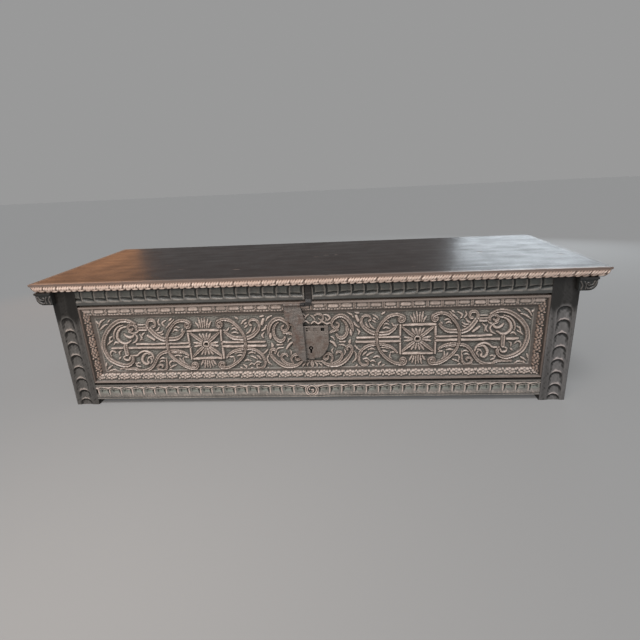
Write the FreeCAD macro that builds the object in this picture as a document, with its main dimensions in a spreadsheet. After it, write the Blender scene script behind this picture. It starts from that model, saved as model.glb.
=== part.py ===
import FreeCAD, Part
import Sketcher
import math
import os
import re

# A joined chest with a hinged lid. Its carved front panel is framed by mitred mouldings,
# gadrooned rails and posts with gouged scales, and holds an iron lock. A hasp hangs in front
# of the lock from a strap under the lid.
# X runs to the right, Y to the back and Z up. The origin is on the floor under the middle.

# Driving sizes in millimetres, each written once.
SIZES = {
    # Lid
    "lid_length": 1650,
    "lid_depth": 600,
    "lid_thick": 28,
    "lid_strip_depth": 45,
    "lid_lip_height": 7,
    "lid_lip_step": 3,
    "lid_edge_recess": 13,
    "lid_tongue_thick": 9,
    "lid_front_overhang": 25,
    "lid_left_overhang": 44,
    "lid_right_overhang": 65,
    "lid_back_gap": 1,
    # Cleats under the lid's ends
    "cleat_thick": 35,
    "cleat_height": 37,
    "cleat_gap": 1.5,
    "cleat_ear": 14,
    "cleat_front_setback": 4,
    "cleat_back_setback": 12,
    "cleat_fillet_height": 6,
    "cleat_fillet_step": 2,
    "cleat_corner": 22,
    "cleat_nail_length": 55,
    # Case
    "overall_height": 412,
    "foot_height": 19,
    "stile_width": 75,
    "stile_thick": 40,
    "rail_thick": 36,
    "top_rail_height": 46,
    "bottom_rail_height": 52,
    "tenon_length": 45,
    "tenon_thick": 12,
    "groove_depth": 8,
    "tongue_thick": 10,
    "end_thick": 20,
    "end_setback": 5,
    "back_thick": 20,
    "floor_thick": 18,
    "batten_width": 22,
    "batten_height": 26,
    "peg_width": 8,
    "peg_front_cover": 8,
    # Front panel and its frame
    "panel_thick": 20,
    "ground_depth": 14,
    "top_seam": 8,
    "bottom_seam": 6,
    # Gadroons on the rails and gouged scales on the front posts
    "gadroon_pitch": 37.5,
    "gadroon_radius": 22,
    "gadroon_band": 10,
    "gadroon_top_margin": 3,
    "gadroon_end_margin": 4,
    "rosette_radius": 17,
    "rosette_ring": 3,
    "rosette_recess": 4,
    "rosette_heart_radius": 6,
    "rosette_shift": -5,
    "scale_radius": 21,
    "scale_pitch": 41,
    "scale_drop": 84,
    "scale_margin": 12,
    # Carving on the front panel: starred frames inside strapwork
    "carving_height": 5,
    "star_offset": 318.5,
    "star_rise": 3.5,
    "star_width": 102,
    "star_margin": 4.5,
    "star_bar": 8.5,
    "star_boss_radius": 12,
    "star_hole_radius": 6,
    "ray_width": 12,
    "ray_gap": 3,
    "ring_margin": 19,
    "ring_width": 9,
    "ring_spread": 45,
    "volute_radius": 13,
    "bar_height": 8,
    "bar_gap": 5,
    "bar_inner_reach": 180,
    "bar_outer_reach": 213,
    "moulding_width": 30,
    "moulding_setback": 0.8,
    "moulding_lip": 4,
    "moulding_step": 2.5,
    "moulding_inner_height": 4,
    # Hinges
    "hinge_inset": 320,
    "leaf_width": 40,
    "leaf_thick": 3,
    "lid_leaf_length": 220,
    "case_leaf_length": 110,
    "knuckle_radius": 6,
    "knuckle_length": 12,
    "hinge_pin_radius": 3,
    "hinge_pin_head_radius": 5,
    "hinge_pin_head_height": 2,
    "side_play": 0.5,
    "running_clearance": 0.05,
    # Lock
    "plate_width": 110,
    "plate_side": 48,
    "plate_foot": 50,
    "plate_tab_width": 18,
    "plate_tab_drop": 5,
    "plate_thick": 2.5,
    "plate_setback": 1.2,
    "slot_width": 12,
    "slot_height": 10,
    "slot_pitch": 22,
    "slot_shift": 5,
    "slot_drop": 12,
    "keyhole_radius": 6.5,
    "keyhole_slot_width": 5.5,
    "keyhole_slot_length": 16.5,
    "key_pin_radius": 2,
    "lock_width": 76,
    "lock_depth": 18,
    "lock_wall": 2,
    "lock_top_margin": 2,
    "lock_foot_margin": 4.5,
    "pocket_clearance": 0.5,
    "bolt_thick": 3.2,
    "bolt_height": 9,
    "bolt_length": 52,
    "bolt_tip_height": 2.8,
    "bolt_tip_length": 14,
    "bolt_slot_gap": 0.5,
    "talon_width": 13,
    "talon_above_key": 18,
    "talon_notch_radius": 4,
    "guide_edge": 4,
    "guide_length": 8,
    "sliding_clearance": 0.3,
    # Hasp and its strap
    "strap_width": 18,
    "strap_thick": 3,
    "strap_arm_length": 100,
    "strap_setback": 3,
    "strap_tail": 4,
    "strap_foot_rise": 5.5,
    "notch_width": 20,
    "notch_depth": 7,
    "hasp_drop": 88,
    "hasp_thick": 3,
    "hasp_knuckle_radius": 4.5,
    "hasp_pin_radius": 2.2,
    "hasp_pin_head_radius": 3.6,
    "hasp_pin_head_length": 2,
    "hasp_eye_left": 12,
    "hasp_eye_width": 12,
    "hasp_plate_width": 50,
    "hasp_length": 176,
    "staple_drop": 97,
    "staple_left": 35,
    "staple_width": 5,
    "staple_height": 6.4,
    "staple_length": 8.3,
    "staple_wall": 1.5,
    # Forged nails
    "nail_shank": 2.5,
    "nail_length": 14,
    "nail_head": 7,
    "nail_head_height": 1.8,
}

# Shares of the piece that carries them. An arc's share is its rise over its chord.
OVOLO_SHARE = 0.16
QUARTER_ROUND_SHARE = 0.2071
SHIELD_SHARE = 0.127
# The lock plate's top and height as shares of the panel's opening, and the keyhole's drop on it.
PLATE_DROP_SHARE = 0.233
PLATE_HEIGHT_SHARE = 0.534
KEYHOLE_DROP_SHARE = 0.69
# Where a ray of a star starts and where it is widest, as shares of its reach.
RAY_FOOT_SHARE = 0.2
RAY_WIDEST_SHARE = 0.55
# How far a gadroon leans and how deep it ends, as shares of its height.
GADROON_LEAN_SHARE = 0.12
GADROON_DEPTH_SHARE = 0.17
# How deep a scale is under its arc, as a share of its width.
SCALE_DEPTH_SHARE = 0.15
SCALE_ROWS = 7
SCALE_SIDES = 16
GADROON_SIDES = 16
# The hasp's left edge and right edge as shares of its width, and how far down its length.
HASP_SHARES = (
    (0.00, 1.00, 0.00),
    (0.00, 1.00, 0.05),
    (0.05, 1.22, 0.27),
    (0.40, 1.08, 0.33),
    (0.56, 1.12, 0.38),
    (0.41, 1.14, 0.56),
    (0.45, 1.18, 0.76),
    (0.86, 1.20, 0.96),
    (1.02, 1.18, 1.00),
)
CASE_NAIL_SHARES = (0.25, 0.55, 0.85)
LID_NAIL_SHARES = (0.2, 0.55, 0.92)
CLEAT_NAIL_SHARES = (0.12, 0.5, 0.88)
STRAP_NAIL_SHARES = (0.6, 0.9)
PLATE_NAIL_SHARES = ((0.87, 0.25), (0.78, 0.76))
PEG_SHARES = (0.3, 0.7)
CLEAT_NAIL_ACROSS_SHARE = 1 / 3
FLOOR_BOARDS = ("front", "middle", "rear")
PEG_SIDES = 8
PIN_HEAD_SIDES = 8
PLATE_SLOTS = 4
RAYS = 8

document = FreeCAD.newDocument("chest")
sheet = document.addObject("Spreadsheet::Sheet", "Sizes")
for row, (alias, number) in enumerate(SIZES.items(), start=1):
    sheet.set(f"A{row}", str(number))
    sheet.setAlias(f"A{row}", alias)
document.recompute()

# Planes and places that several pieces share, as expressions of the sheet's cells.
WHOLE_DEPTH = "(lid_depth + lid_back_gap + 2 * knuckle_radius)"
LID_FRONT = f"(-{WHOLE_DEPTH} / 2)"
LID_BACK = f"({LID_FRONT} + lid_depth)"
LID_LEFT = "(-lid_length / 2)"
LID_RIGHT = "(lid_length / 2)"
STRIP_BACK = f"({LID_FRONT} + lid_strip_depth)"
RIM = "(overall_height - lid_thick)"
CASE_FRONT = f"({LID_FRONT} + lid_front_overhang)"
CASE_BACK = f"({LID_BACK} + lid_back_gap)"
CASE_LEFT = f"({LID_LEFT} + lid_left_overhang)"
CASE_RIGHT = f"({LID_RIGHT} - lid_right_overhang)"
FRAME_LEFT = f"({CASE_LEFT} + stile_width)"
FRAME_RIGHT = f"({CASE_RIGHT} - stile_width)"
STILE_BACK = f"({CASE_FRONT} + stile_thick)"
REAR_STILE_FRONT = f"({CASE_BACK} - stile_thick)"
RAIL_BACK = f"({CASE_FRONT} + rail_thick)"
TOP_RAIL_FOOT = f"({RIM} - top_rail_height)"
BOTTOM_RAIL_TOP = "(foot_height + bottom_rail_height)"
TENON_FRONT = f"({CASE_FRONT} + (rail_thick - tenon_thick) / 2)"
GROUND = f"({CASE_FRONT} + ground_depth)"
PANEL_BACK = f"({GROUND} + panel_thick)"
TONGUE_FRONT = f"({GROUND} + (panel_thick - tongue_thick) / 2)"
BACK_INSIDE = f"({CASE_BACK} - back_thick)"
BACK_TONGUE = f"({CASE_BACK} - (back_thick + tongue_thick) / 2)"
FLOOR_FOOT = "(foot_height + batten_height)"
FLOOR_TOP = f"({FLOOR_FOOT} + floor_thick)"
FRAME_TOP = f"({TOP_RAIL_FOOT} - top_seam)"
FRAME_FOOT = f"({BOTTOM_RAIL_TOP} + bottom_seam)"
MOULDING_FRONT = f"({CASE_FRONT} + moulding_setback)"
HINGE_Y = f"({CASE_BACK} + knuckle_radius)"
HINGE_Z = f"({RIM} + knuckle_radius)"
OPENING = f"({FRAME_TOP} - {FRAME_FOOT} - 2 * moulding_width)"
OPENING_MIDDLE = f"(({FRAME_TOP} + {FRAME_FOOT}) / 2)"
STAR_HEIGHT = f"({OPENING} / 2 - star_margin)"
RING_RADIUS = f"({OPENING} / 2 - ring_margin)"
PLATE_TOP = f"({FRAME_TOP} - moulding_width - {OPENING} * {PLATE_DROP_SHARE})"
PLATE_HEIGHT = f"({OPENING} * {PLATE_HEIGHT_SHARE})"
PLATE_FOOT = f"({PLATE_TOP} - {PLATE_HEIGHT})"
PLATE_FRONT = f"({CASE_FRONT} + plate_setback)"
PLATE_BACK = f"({PLATE_FRONT} + plate_thick)"
SLOT_Z = f"({PLATE_TOP} - slot_drop)"
KEYHOLE_Z = f"({PLATE_TOP} - {PLATE_HEIGHT} * {KEYHOLE_DROP_SHARE})"
KEYHOLE_FOOT = f"({KEYHOLE_Z} - keyhole_slot_length)"
LOCK_TOP = f"({PLATE_TOP} - lock_top_margin)"
LOCK_FOOT = f"({KEYHOLE_FOOT} - lock_foot_margin)"
LOCK_BACK = f"({PLATE_BACK} + lock_depth)"
STAPLE_SLOT_RIGHT = f"(slot_shift - {(PLATE_SLOTS - 1) / 2} * slot_pitch + slot_width / 2)"
BOLT_LEFT = f"({STAPLE_SLOT_RIGHT} + bolt_slot_gap)"
BOLT_FRONT = f"({PLATE_BACK} + sliding_clearance)"
HASP_Y = f"({CASE_FRONT} - hasp_knuckle_radius)"
HASP_Z = "(overall_height - hasp_drop)"
EYE_RIGHT = "(-hasp_eye_left)"
EYE_LEFT = f"({EYE_RIGHT} - hasp_eye_width)"
HASP_RIGHT = f"({EYE_LEFT} - side_play)"
HASP_LEFT = f"({HASP_RIGHT} - hasp_plate_width)"


def sized(text):
    """Put the sheet's name before each of its cells in an expression."""
    def named(word):
        return f"Sizes.{word[0]}" if word[0] in SIZES else word[0]
    return re.sub(r"[a-z][a-z_]*", named, text)


def value(text):
    """The number that an expression of the sheet's cells gives."""
    return float(sheet.evalExpression(sized(text)))


def bind(piece, **expressions):
    """Tie a piece's properties to the sheet. Double underscores stand for points in a path."""
    for path, text in expressions.items():
        piece.setExpression(path.replace("__", "."), sized(text))


def block(label, x, y, z):
    """A box between three pairs of planes."""
    box = document.addObject("Part::Box", label)
    bind(box, Length=f"({x[1]}) - ({x[0]})", Width=f"({y[1]}) - ({y[0]})")
    bind(box, Height=f"({z[1]}) - ({z[0]})")
    bind(box, Placement__Base__x=x[0], Placement__Base__y=y[0], Placement__Base__z=z[0])
    return box


def rod(label, axis, radius, ends, y="0", z="0", x="0", sides=0):
    """A cylinder, or a prism of some sides, along an axis between two places."""
    cylinder = document.addObject("Part::Prism" if sides else "Part::Cylinder", label)
    turns = {"x": (0, 1, 0, 90), "y": (1, 0, 0, -90), "z": (0, 0, 1, 0)}[axis]
    cylinder.Placement.Rotation = FreeCAD.Rotation(FreeCAD.Vector(*turns[:3]), turns[3])
    centre = {"x": x, "y": y, "z": z}
    centre[axis] = ends[0]
    set_round(cylinder, radius, f"({ends[1]}) - ({ends[0]})", sides)
    bind(cylinder, Placement__Base__x=centre["x"], Placement__Base__y=centre["y"])
    bind(cylinder, Placement__Base__z=centre["z"])
    return cylinder


def slanted_rod(label, radius, length, foot, way, sides=0):
    """A cylinder or prism of a length from a place, along a direction given as shares."""
    cylinder = document.addObject("Part::Prism" if sides else "Part::Cylinder", label)
    cylinder.Placement.Rotation = FreeCAD.Rotation(FreeCAD.Vector(0, 0, 1), FreeCAD.Vector(*way))
    set_round(cylinder, radius, length, sides)
    bind(cylinder, Placement__Base__x=foot[0], Placement__Base__y=foot[1], Placement__Base__z=foot[2])
    return cylinder


def set_round(piece, radius, length, sides):
    """Set the radius and length of a cylinder, or of a prism of some sides."""
    if sides:
        piece.Polygon = sides
        bind(piece, Circumradius=radius, Height=length)
    else:
        bind(piece, Radius=radius, Height=length)


def fused(label, pieces):
    """Several touching solids joined into one piece."""
    union = document.addObject("Part::MultiFuse", label)
    union.Shapes = pieces
    union.Refine = True
    return union


def cut(label, base, tools):
    """A piece with one or more solids taken away."""
    result = document.addObject("Part::Cut", label)
    result.Base = base
    result.Tool = tools[0] if len(tools) == 1 else fused(f"{label}_cuts", tools)
    result.Refine = True
    return result


def common(label, first, second):
    """What two solids share."""
    result = document.addObject("Part::Common", label)
    result.Base = first
    result.Tool = second
    result.Refine = True
    return result


def group(label, pieces):
    """Separate solids kept together under one name."""
    compound = document.addObject("Part::Compound", label)
    compound.Links = pieces
    return compound


def sketch_outline(sketch, outline):
    """Draw a closed outline whose corners are expressions.

    A corner is (across, up), or (across, up, share) where an arc arrives at it. A positive
    share turns the arc anticlockwise, so that it bulges out of an anticlockwise outline.
    """
    corners = [(value(corner[0]), value(corner[1])) for corner in outline]
    joints = []
    for index, corner in enumerate(outline):
        start, end = corners[index - 1], corners[index]
        share = corner[2] if len(corner) > 2 else 0
        first, last = FreeCAD.Vector(*start, 0), FreeCAD.Vector(*end, 0)
        if share == 0:
            sketch.addGeometry(Part.LineSegment(first, last), False)
            joints.append((1, 2))
            continue
        chord = last - first
        radius = chord.Length * (1 + 4 * share ** 2) / (8 * abs(share))
        left = FreeCAD.Vector(-chord.y, chord.x, 0).normalize() * math.copysign(1, share)
        centre = first + chord / 2 + left * (radius - chord.Length * abs(share))
        ends = (first, last) if share > 0 else (last, first)
        angles = [math.atan2(end.y - centre.y, end.x - centre.x) for end in ends]
        if angles[1] < angles[0]:
            angles[1] += math.tau
        circle = Part.Circle(centre, FreeCAD.Vector(0, 0, 1), radius)
        sketch.addGeometry(Part.ArcOfCircle(circle, *angles), False)
        joints.append((1, 2) if share > 0 else (2, 1))
    for index, corner in enumerate(outline):
        previous = outline[index - 1]
        after = (index + 1) % len(outline)
        end, start = joints[index][1], joints[after][0]
        sketch.addConstraint(Sketcher.Constraint("Coincident", index, end, after, start))
        for way, place, number in zip("XY", corner[:2], corners[index]):
            limit = sketch.addConstraint(
                Sketcher.Constraint(f"Distance{way}", -1, 1, index, joints[index][1], number))
            sketch.setExpression(f"Constraints[{limit}]", sized(place))
        if len(corner) > 2:
            share = abs(corner[2])
            across, up = (f"(({corner[axis]}) - ({previous[axis]}))" for axis in (0, 1))
            radius = f"sqrt({across}^2 + {up}^2) * {(1 + 4 * share ** 2) / (8 * share)}"
            limit = sketch.addConstraint(Sketcher.Constraint("Radius", index, value(radius)))
            sketch.setExpression(f"Constraints[{limit}]", sized(radius))


def padded(label, plane, outline, ends):
    """A body whose outline on a plane is padded between two places along the plane's normal."""
    body = document.addObject("PartDesign::Body", label)
    sketch = body.newObject("Sketcher::SketchObject", f"{label}_outline")
    origin_plane = next(item for item in body.Origin.OriginFeatures if item.Role == f"{plane}_Plane")
    sketch.AttachmentSupport = [(origin_plane, "")]
    sketch.MapMode = "FlatFace"
    sketch_outline(sketch, outline)
    pad = body.newObject("PartDesign::Pad", f"{label}_pad")
    pad.Profile = sketch
    bind(pad, Length=f"({ends[1]}) - ({ends[0]})")
    if plane == "XZ":
        bind(body, Placement__Base__y=ends[1])
    if plane == "YZ":
        bind(body, Placement__Base__x=ends[0])
    if plane == "XY":
        bind(body, Placement__Base__z=ends[0])
    return body


def spread(place, reach):
    """The pair of planes that lie a reach to each side of a place."""
    return f"({place}) - ({reach})", f"({place}) + ({reach})"


def nail(label, way, x, y, z, length="nail_length"):
    """A forged nail: a square shank and a low four-sided head. Returns the nail and its shank.

    The place is the surface under the head, and the way is the direction of the point.
    """
    axis, sign = way[1], (1 if way[0] == "+" else -1)
    place = {"x": x, "y": y, "z": z}
    spans = {name: spread(text, "nail_shank / 2") for name, text in place.items()}
    inside = (place[axis], f"{place[axis]} + {length}")
    spans[axis] = inside if sign > 0 else (f"{place[axis]} - {length}", place[axis])
    shank = block(f"{label}_shank", spans["x"], spans["y"], spans["z"])
    head = document.addObject("Part::Wedge", f"{label}_head")
    turns = {"+z": (1, 0, 0, -90), "-z": (1, 0, 0, 90), "+y": (1, 0, 0, 180), "-y": (1, 0, 0, 0)}[way]
    head.Placement.Rotation = FreeCAD.Rotation(FreeCAD.Vector(*turns[:3]), turns[3])
    for edge, sign_of_edge in (("min", "-"), ("max", "")):
        wide, narrow = f"{sign_of_edge}nail_head / 2", f"{sign_of_edge}nail_shank / 2"
        bind(head, **{f"X{edge}": wide, f"Z{edge}": wide, f"X2{edge}": narrow, f"Z2{edge}": narrow})
    bind(head, Ymin="0", Ymax="nail_head_height")
    bind(head, Placement__Base__x=x, Placement__Base__y=y, Placement__Base__z=z)
    return fused(label, [shank, head]), shank


SIDES = {
    "left": (CASE_LEFT, 1),
    "right": (CASE_RIGHT, -1),
}


def inward(side, near, far):
    """The pair of planes that lie between two distances in from one end of the case."""
    edge, sign = SIDES[side]
    if sign > 0:
        return f"({edge} + ({near}))", f"({edge} + ({far}))"
    return f"({edge} - ({far}))", f"({edge} - ({near}))"


def stile_front(side, pegs):
    """A front corner post with mortises for both rails and grooves for the panel and the end."""
    post = block(f"stile_front_{side}_post", inward(side, "0", "stile_width"),
                 (CASE_FRONT, STILE_BACK), ("0", RIM))
    depth = inward(side, "stile_width - tenon_length", "stile_width")
    tenon_y = (TENON_FRONT, f"{TENON_FRONT} + tenon_thick")
    top_z = (f"{TOP_RAIL_FOOT} + groove_depth", f"{RIM} - groove_depth")
    bottom_z = ("foot_height + groove_depth", f"{BOTTOM_RAIL_TOP} - groove_depth")
    groove_z = (f"{BOTTOM_RAIL_TOP} - groove_depth", f"{TOP_RAIL_FOOT} + groove_depth")
    cuts = [
        block(f"stile_front_{side}_top_mortise", depth, tenon_y, top_z),
        block(f"stile_front_{side}_bottom_mortise", depth, tenon_y, bottom_z),
        block(f"stile_front_{side}_panel_groove", inward(side, "stile_width - groove_depth", "stile_width"),
              (TONGUE_FRONT, f"{TONGUE_FRONT} + tongue_thick"), groove_z),
        block(f"stile_front_{side}_end_groove", end_tongue(side),
              (f"{STILE_BACK} - groove_depth", STILE_BACK), ("foot_height", RIM)),
    ]
    return cut(f"stile_front_{side}", post, cuts + pegs + scales(side))


def scales(side):
    """The gouged scales down a front post: round scoops, each deepest under its arc."""
    across = inward(side, "scale_margin + scale_radius", "0")[0 if SIDES[side][1] > 0 else 1]
    steepness = math.sqrt(1 + SCALE_DEPTH_SHARE ** 2)
    scoops = []
    for row in range(SCALE_ROWS):
        middle = f"({RIM} - scale_drop - scale_radius - {row} * scale_pitch)"
        foot = (across, f"{CASE_FRONT} + scale_radius * {SCALE_DEPTH_SHARE - 1 / steepness}",
                f"{middle} + scale_radius * {SCALE_DEPTH_SHARE / steepness}")
        scoops.append(slanted_rod(f"stile_front_{side}_scale_{row}", "scale_radius", "scale_radius", foot,
                                  (0, 1, -SCALE_DEPTH_SHARE), SCALE_SIDES))
    return scoops


def end_tongue(side):
    """The pair of planes between which an end board's tongue lies."""
    near = "end_setback + (end_thick - tongue_thick) / 2"
    return inward(side, near, f"{near} + tongue_thick")


def stile_rear(side):
    """A rear corner post with grooves for the end board and the back board."""
    post = block(f"stile_rear_{side}_post", inward(side, "0", "stile_width"), (REAR_STILE_FRONT, CASE_BACK),
                 ("0", RIM))
    board_z = ("foot_height", RIM)
    cuts = [
        block(f"stile_rear_{side}_end_groove", end_tongue(side),
              (REAR_STILE_FRONT, f"{REAR_STILE_FRONT} + groove_depth"), board_z),
        block(f"stile_rear_{side}_back_groove", inward(side, "stile_width - groove_depth", "stile_width"),
              (BACK_TONGUE, f"{BACK_TONGUE} + tongue_thick"), board_z),
    ]
    return cut(f"stile_rear_{side}", post, cuts)


def gadroons(label, foot, top, middle, start):
    """The flutes along a rail, mirrored about a middle, each leaning out and deepest at its top."""
    height = f"(({top}) - ({foot}))"
    slant = math.sqrt(1 + GADROON_LEAN_SHARE ** 2 + GADROON_DEPTH_SHARE ** 2)
    front = f"{CASE_FRONT} - gadroon_radius * {math.sqrt(1 + GADROON_DEPTH_SHARE ** 2)}"
    flutes = []
    for sign, end in ((-1, FRAME_LEFT), (1, FRAME_RIGHT)):
        room = f"{sign} * ({end} - ({middle})) - {start} - gadroon_end_margin"
        for index in range(int(value(room) / value("gadroon_pitch"))):
            reach = f"({start} + {index + 1 / 2} * gadroon_pitch - {height} * {GADROON_LEAN_SHARE / 2})"
            flutes.append(slanted_rod(f"{label}_flute_{len(flutes)}", "gadroon_radius",
                                      f"{height} * {slant}", (f"{middle} + ({sign}) * {reach}", front, foot),
                                      (sign * GADROON_LEAN_SHARE, GADROON_DEPTH_SHARE, 1), GADROON_SIDES))
    return flutes


def rosette_recess():
    """The sunk ring round the heart of the rosette in the middle of the bottom rail."""
    depth = (CASE_FRONT, f"{CASE_FRONT} + rosette_recess")
    middle = f"((foot_height + {BOTTOM_RAIL_TOP}) / 2)"
    well = rod("rosette_well", "y", "rosette_radius - rosette_ring", depth, x="rosette_shift", z=middle)
    heart = rod("rosette_heart", "y", "rosette_heart_radius", depth, x="rosette_shift", z=middle)
    return cut("rosette_recess", well, [heart])


def rail(label, foot, top, cuts, groove_at_foot):
    """A front rail with a tenon at each end and a groove along the edge that holds the panel."""
    slab = block(f"{label}_slab", (FRAME_LEFT, FRAME_RIGHT), (CASE_FRONT, RAIL_BACK), (foot, top))
    tenon = block(f"{label}_tenon", (f"{FRAME_LEFT} - tenon_length", f"{FRAME_RIGHT} + tenon_length"),
                  (TENON_FRONT, f"{TENON_FRONT} + tenon_thick"),
                  (f"{foot} + groove_depth", f"{top} - groove_depth"))
    edge = (foot, f"{foot} + groove_depth") if groove_at_foot else (f"{top} - groove_depth", top)
    groove = block(f"{label}_groove", (FRAME_LEFT, FRAME_RIGHT),
                   (TONGUE_FRONT, f"{TONGUE_FRONT} + tongue_thick"), edge)
    return cut(label, fused(f"{label}_joined", [slab, tenon]), [groove] + cuts)


def tenon_pegs():
    """Wooden pegs driven from inside through each mortise and tenon, short of the face."""
    pegs = []
    for side in SIDES:
        edge, sign = SIDES[side]
        for height, foot in (("top_rail_height", TOP_RAIL_FOOT), ("bottom_rail_height", "foot_height")):
            for share in PEG_SHARES:
                across = f"{edge} + ({sign}) * (stile_width - tenon_length * {share})"
                peg = document.addObject("Part::Prism", f"peg_{len(pegs)}")
                peg.Polygon = PEG_SIDES
                peg.Placement.Rotation = FreeCAD.Rotation(FreeCAD.Vector(1, 0, 0), -90)
                bind(peg, Circumradius="peg_width / 2", Height="stile_thick - peg_front_cover")
                bind(peg, Placement__Base__x=across, Placement__Base__y=f"{CASE_FRONT} + peg_front_cover",
                     Placement__Base__z=f"{foot} + {height} / 2")
                pegs.append(peg)
    return pegs


def end_board(side):
    """An end board between the posts, with a tongue on each upright edge."""
    z = ("foot_height", RIM)
    board = block(f"end_board_{side}_board", inward(side, "end_setback", "end_setback + end_thick"),
                  (STILE_BACK, REAR_STILE_FRONT), z)
    tongue = block(f"end_board_{side}_tongue", end_tongue(side),
                   (f"{STILE_BACK} - groove_depth", f"{REAR_STILE_FRONT} + groove_depth"), z)
    return fused(f"end_board_{side}", [board, tongue])


def back_board(nail_shanks):
    """The back board between the rear posts, with the holes of the hinge nails."""
    z = ("foot_height", RIM)
    board = block("back_board_board", (FRAME_LEFT, FRAME_RIGHT), (BACK_INSIDE, CASE_BACK), z)
    tongue = block("back_board_tongue", (f"{FRAME_LEFT} - groove_depth", f"{FRAME_RIGHT} + groove_depth"),
                   (BACK_TONGUE, f"{BACK_TONGUE} + tongue_thick"), z)
    return cut("back_board", fused("back_board_joined", [board, tongue]), nail_shanks)


def shield(label, ends):
    """A solid with the lock plate's outline: straight sides, round shoulders and a small tab."""
    half, foot, tab = "plate_width / 2", "plate_foot / 2", "plate_tab_width / 2"
    shoulder, drop = f"{PLATE_TOP} - plate_side", f"{PLATE_FOOT} - plate_tab_drop"
    outline = [
        (f"-{half}", PLATE_TOP),
        (f"-{half}", shoulder),
        (f"-{foot}", PLATE_FOOT, SHIELD_SHARE),
        (f"-{tab}", PLATE_FOOT),
        (f"-{tab}", drop),
        (tab, drop),
        (tab, PLATE_FOOT),
        (foot, PLATE_FOOT),
        (half, shoulder, SHIELD_SHARE),
        (half, PLATE_TOP),
    ]
    return padded(label, "XZ", outline, ends)


def star_frame(side, sign):
    """A starred frame in relief: four bars, eight rays and a boss with a hole."""
    label, x = f"star_{side}", f"({sign} * star_offset)"
    z = f"({OPENING_MIDDLE} + star_rise)"
    depth = (f"{GROUND} - carving_height", PANEL_BACK)
    sink = (f"{GROUND} - carving_height", GROUND)
    outer = block(f"{label}_outer", spread(x, "star_width / 2"), depth,
                  spread(z, f"{STAR_HEIGHT} / 2"))
    inner = block(f"{label}_inner", spread(x, "star_width / 2 - star_bar"), sink,
                  spread(z, f"{STAR_HEIGHT} / 2 - star_bar"))
    boss = rod(f"{label}_boss", "y", "star_boss_radius", depth, x=x, z=z)
    hole = rod(f"{label}_hole", "y", "star_hole_radius", sink, x=x, z=z)
    rays = [ray(f"{label}_ray_{index}", x, z, math.tau * index / RAYS) for index in range(RAYS)]
    return cut(label, fused(f"{label}_joined", [cut(f"{label}_frame", outer, [inner]), boss] + rays), [hole])


def ray(label, x, z, turn):
    """One ray of a star: a lance from within the boss towards the frame, widest near its foot."""
    across, up = round(math.cos(turn), 6), round(math.sin(turn), 6)
    reach = (f"({across} * (star_width / 2 - star_bar - ray_gap))",
             f"({up} * ({STAR_HEIGHT} / 2 - star_bar - ray_gap))")

    def place(share, aside):
        return (f"{x} + {share} * {reach[0]} - ({aside * up}) * ray_width",
                f"{z} + {share} * {reach[1]} + ({aside * across}) * ray_width")

    outline = [place(RAY_FOOT_SHARE, 0), place(RAY_WIDEST_SHARE, -1 / 2), place(1, 0),
               place(RAY_WIDEST_SHARE, 1 / 2)]
    return padded(label, "XZ", outline, (f"{GROUND} - carving_height", PANEL_BACK))


def strapwork(side, sign):
    """The raised bands round a starred frame: two half rings with volutes, and bars to each side."""
    middle, depth = OPENING_MIDDLE, (f"{GROUND} - carving_height", PANEL_BACK)
    outer, inner = (f"({RING_RADIUS} {sign_of_edge} ring_width / 2)" for sign_of_edge in "+-")
    bands = []
    for facing in (-1, 1):
        name = f"strap_{side}_{'inner' if facing * sign < 0 else 'outer'}"
        x = f"({sign} * star_offset + ({facing}) * ring_spread)"
        beyond = f"{x} - ({facing}) * 2 * {outer}"
        other_half = block(f"{name}_other_half", (beyond, x) if facing > 0 else (x, beyond), depth,
                           spread(middle, f"2 * {outer}"))
        disc = rod(f"{name}_disc", "y", outer, depth, x=x, z=middle)
        hollow = rod(f"{name}_hollow", "y", inner, depth, x=x, z=middle)
        bands.append(cut(f"{name}_ring", disc, [hollow, other_half]))
        for up in (-1, 1):
            z = f"{middle} + ({up}) * ({outer} - volute_radius)"
            bands.append(rod(f"{name}_volute_{up + 1}", "y", "volute_radius", depth, x=x, z=z))
        frame_edge = f"({sign} * star_offset + ({facing}) * star_width / 2)"
        reach = "bar_inner_reach" if facing * sign < 0 else "bar_outer_reach"
        far = f"({sign} * star_offset + ({facing}) * {reach})"
        span = (frame_edge, far) if facing > 0 else (far, frame_edge)
        for up in (-1, 1):
            z = f"{middle} + star_rise + ({up}) * (bar_gap + bar_height) / 2"
            bands.append(block(f"{name}_bar_{up + 1}", span, depth, spread(z, "bar_height / 2")))
    return bands


def front_panel(nail_shanks):
    """The front panel: a tongued board carved in relief, with the plate's seat and the lock's pocket."""
    board = block("front_panel_board", (FRAME_LEFT, FRAME_RIGHT), (GROUND, PANEL_BACK),
                  (BOTTOM_RAIL_TOP, TOP_RAIL_FOOT))
    tongue = block("front_panel_tongue", (f"{FRAME_LEFT} - groove_depth", f"{FRAME_RIGHT} + groove_depth"),
                   (TONGUE_FRONT, f"{TONGUE_FRONT} + tongue_thick"),
                   (f"{BOTTOM_RAIL_TOP} - groove_depth", f"{TOP_RAIL_FOOT} + groove_depth"))
    seat = shield("front_panel_seat", (PLATE_BACK, PANEL_BACK))
    pocket = block("front_panel_pocket", spread("0", "lock_width / 2 + pocket_clearance"),
                   (PLATE_BACK, f"{LOCK_BACK} + pocket_clearance"),
                   (f"{LOCK_FOOT} - pocket_clearance", f"{LOCK_TOP} + pocket_clearance"))
    raised = []
    for side, (_, sign) in SIDES.items():
        raised += [star_frame(side, -sign), *strapwork(side, -sign)]
    solid = fused("front_panel_joined", [board, tongue, seat] + raised)
    return cut("front_panel", solid, [pocket] + nail_shanks)


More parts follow.
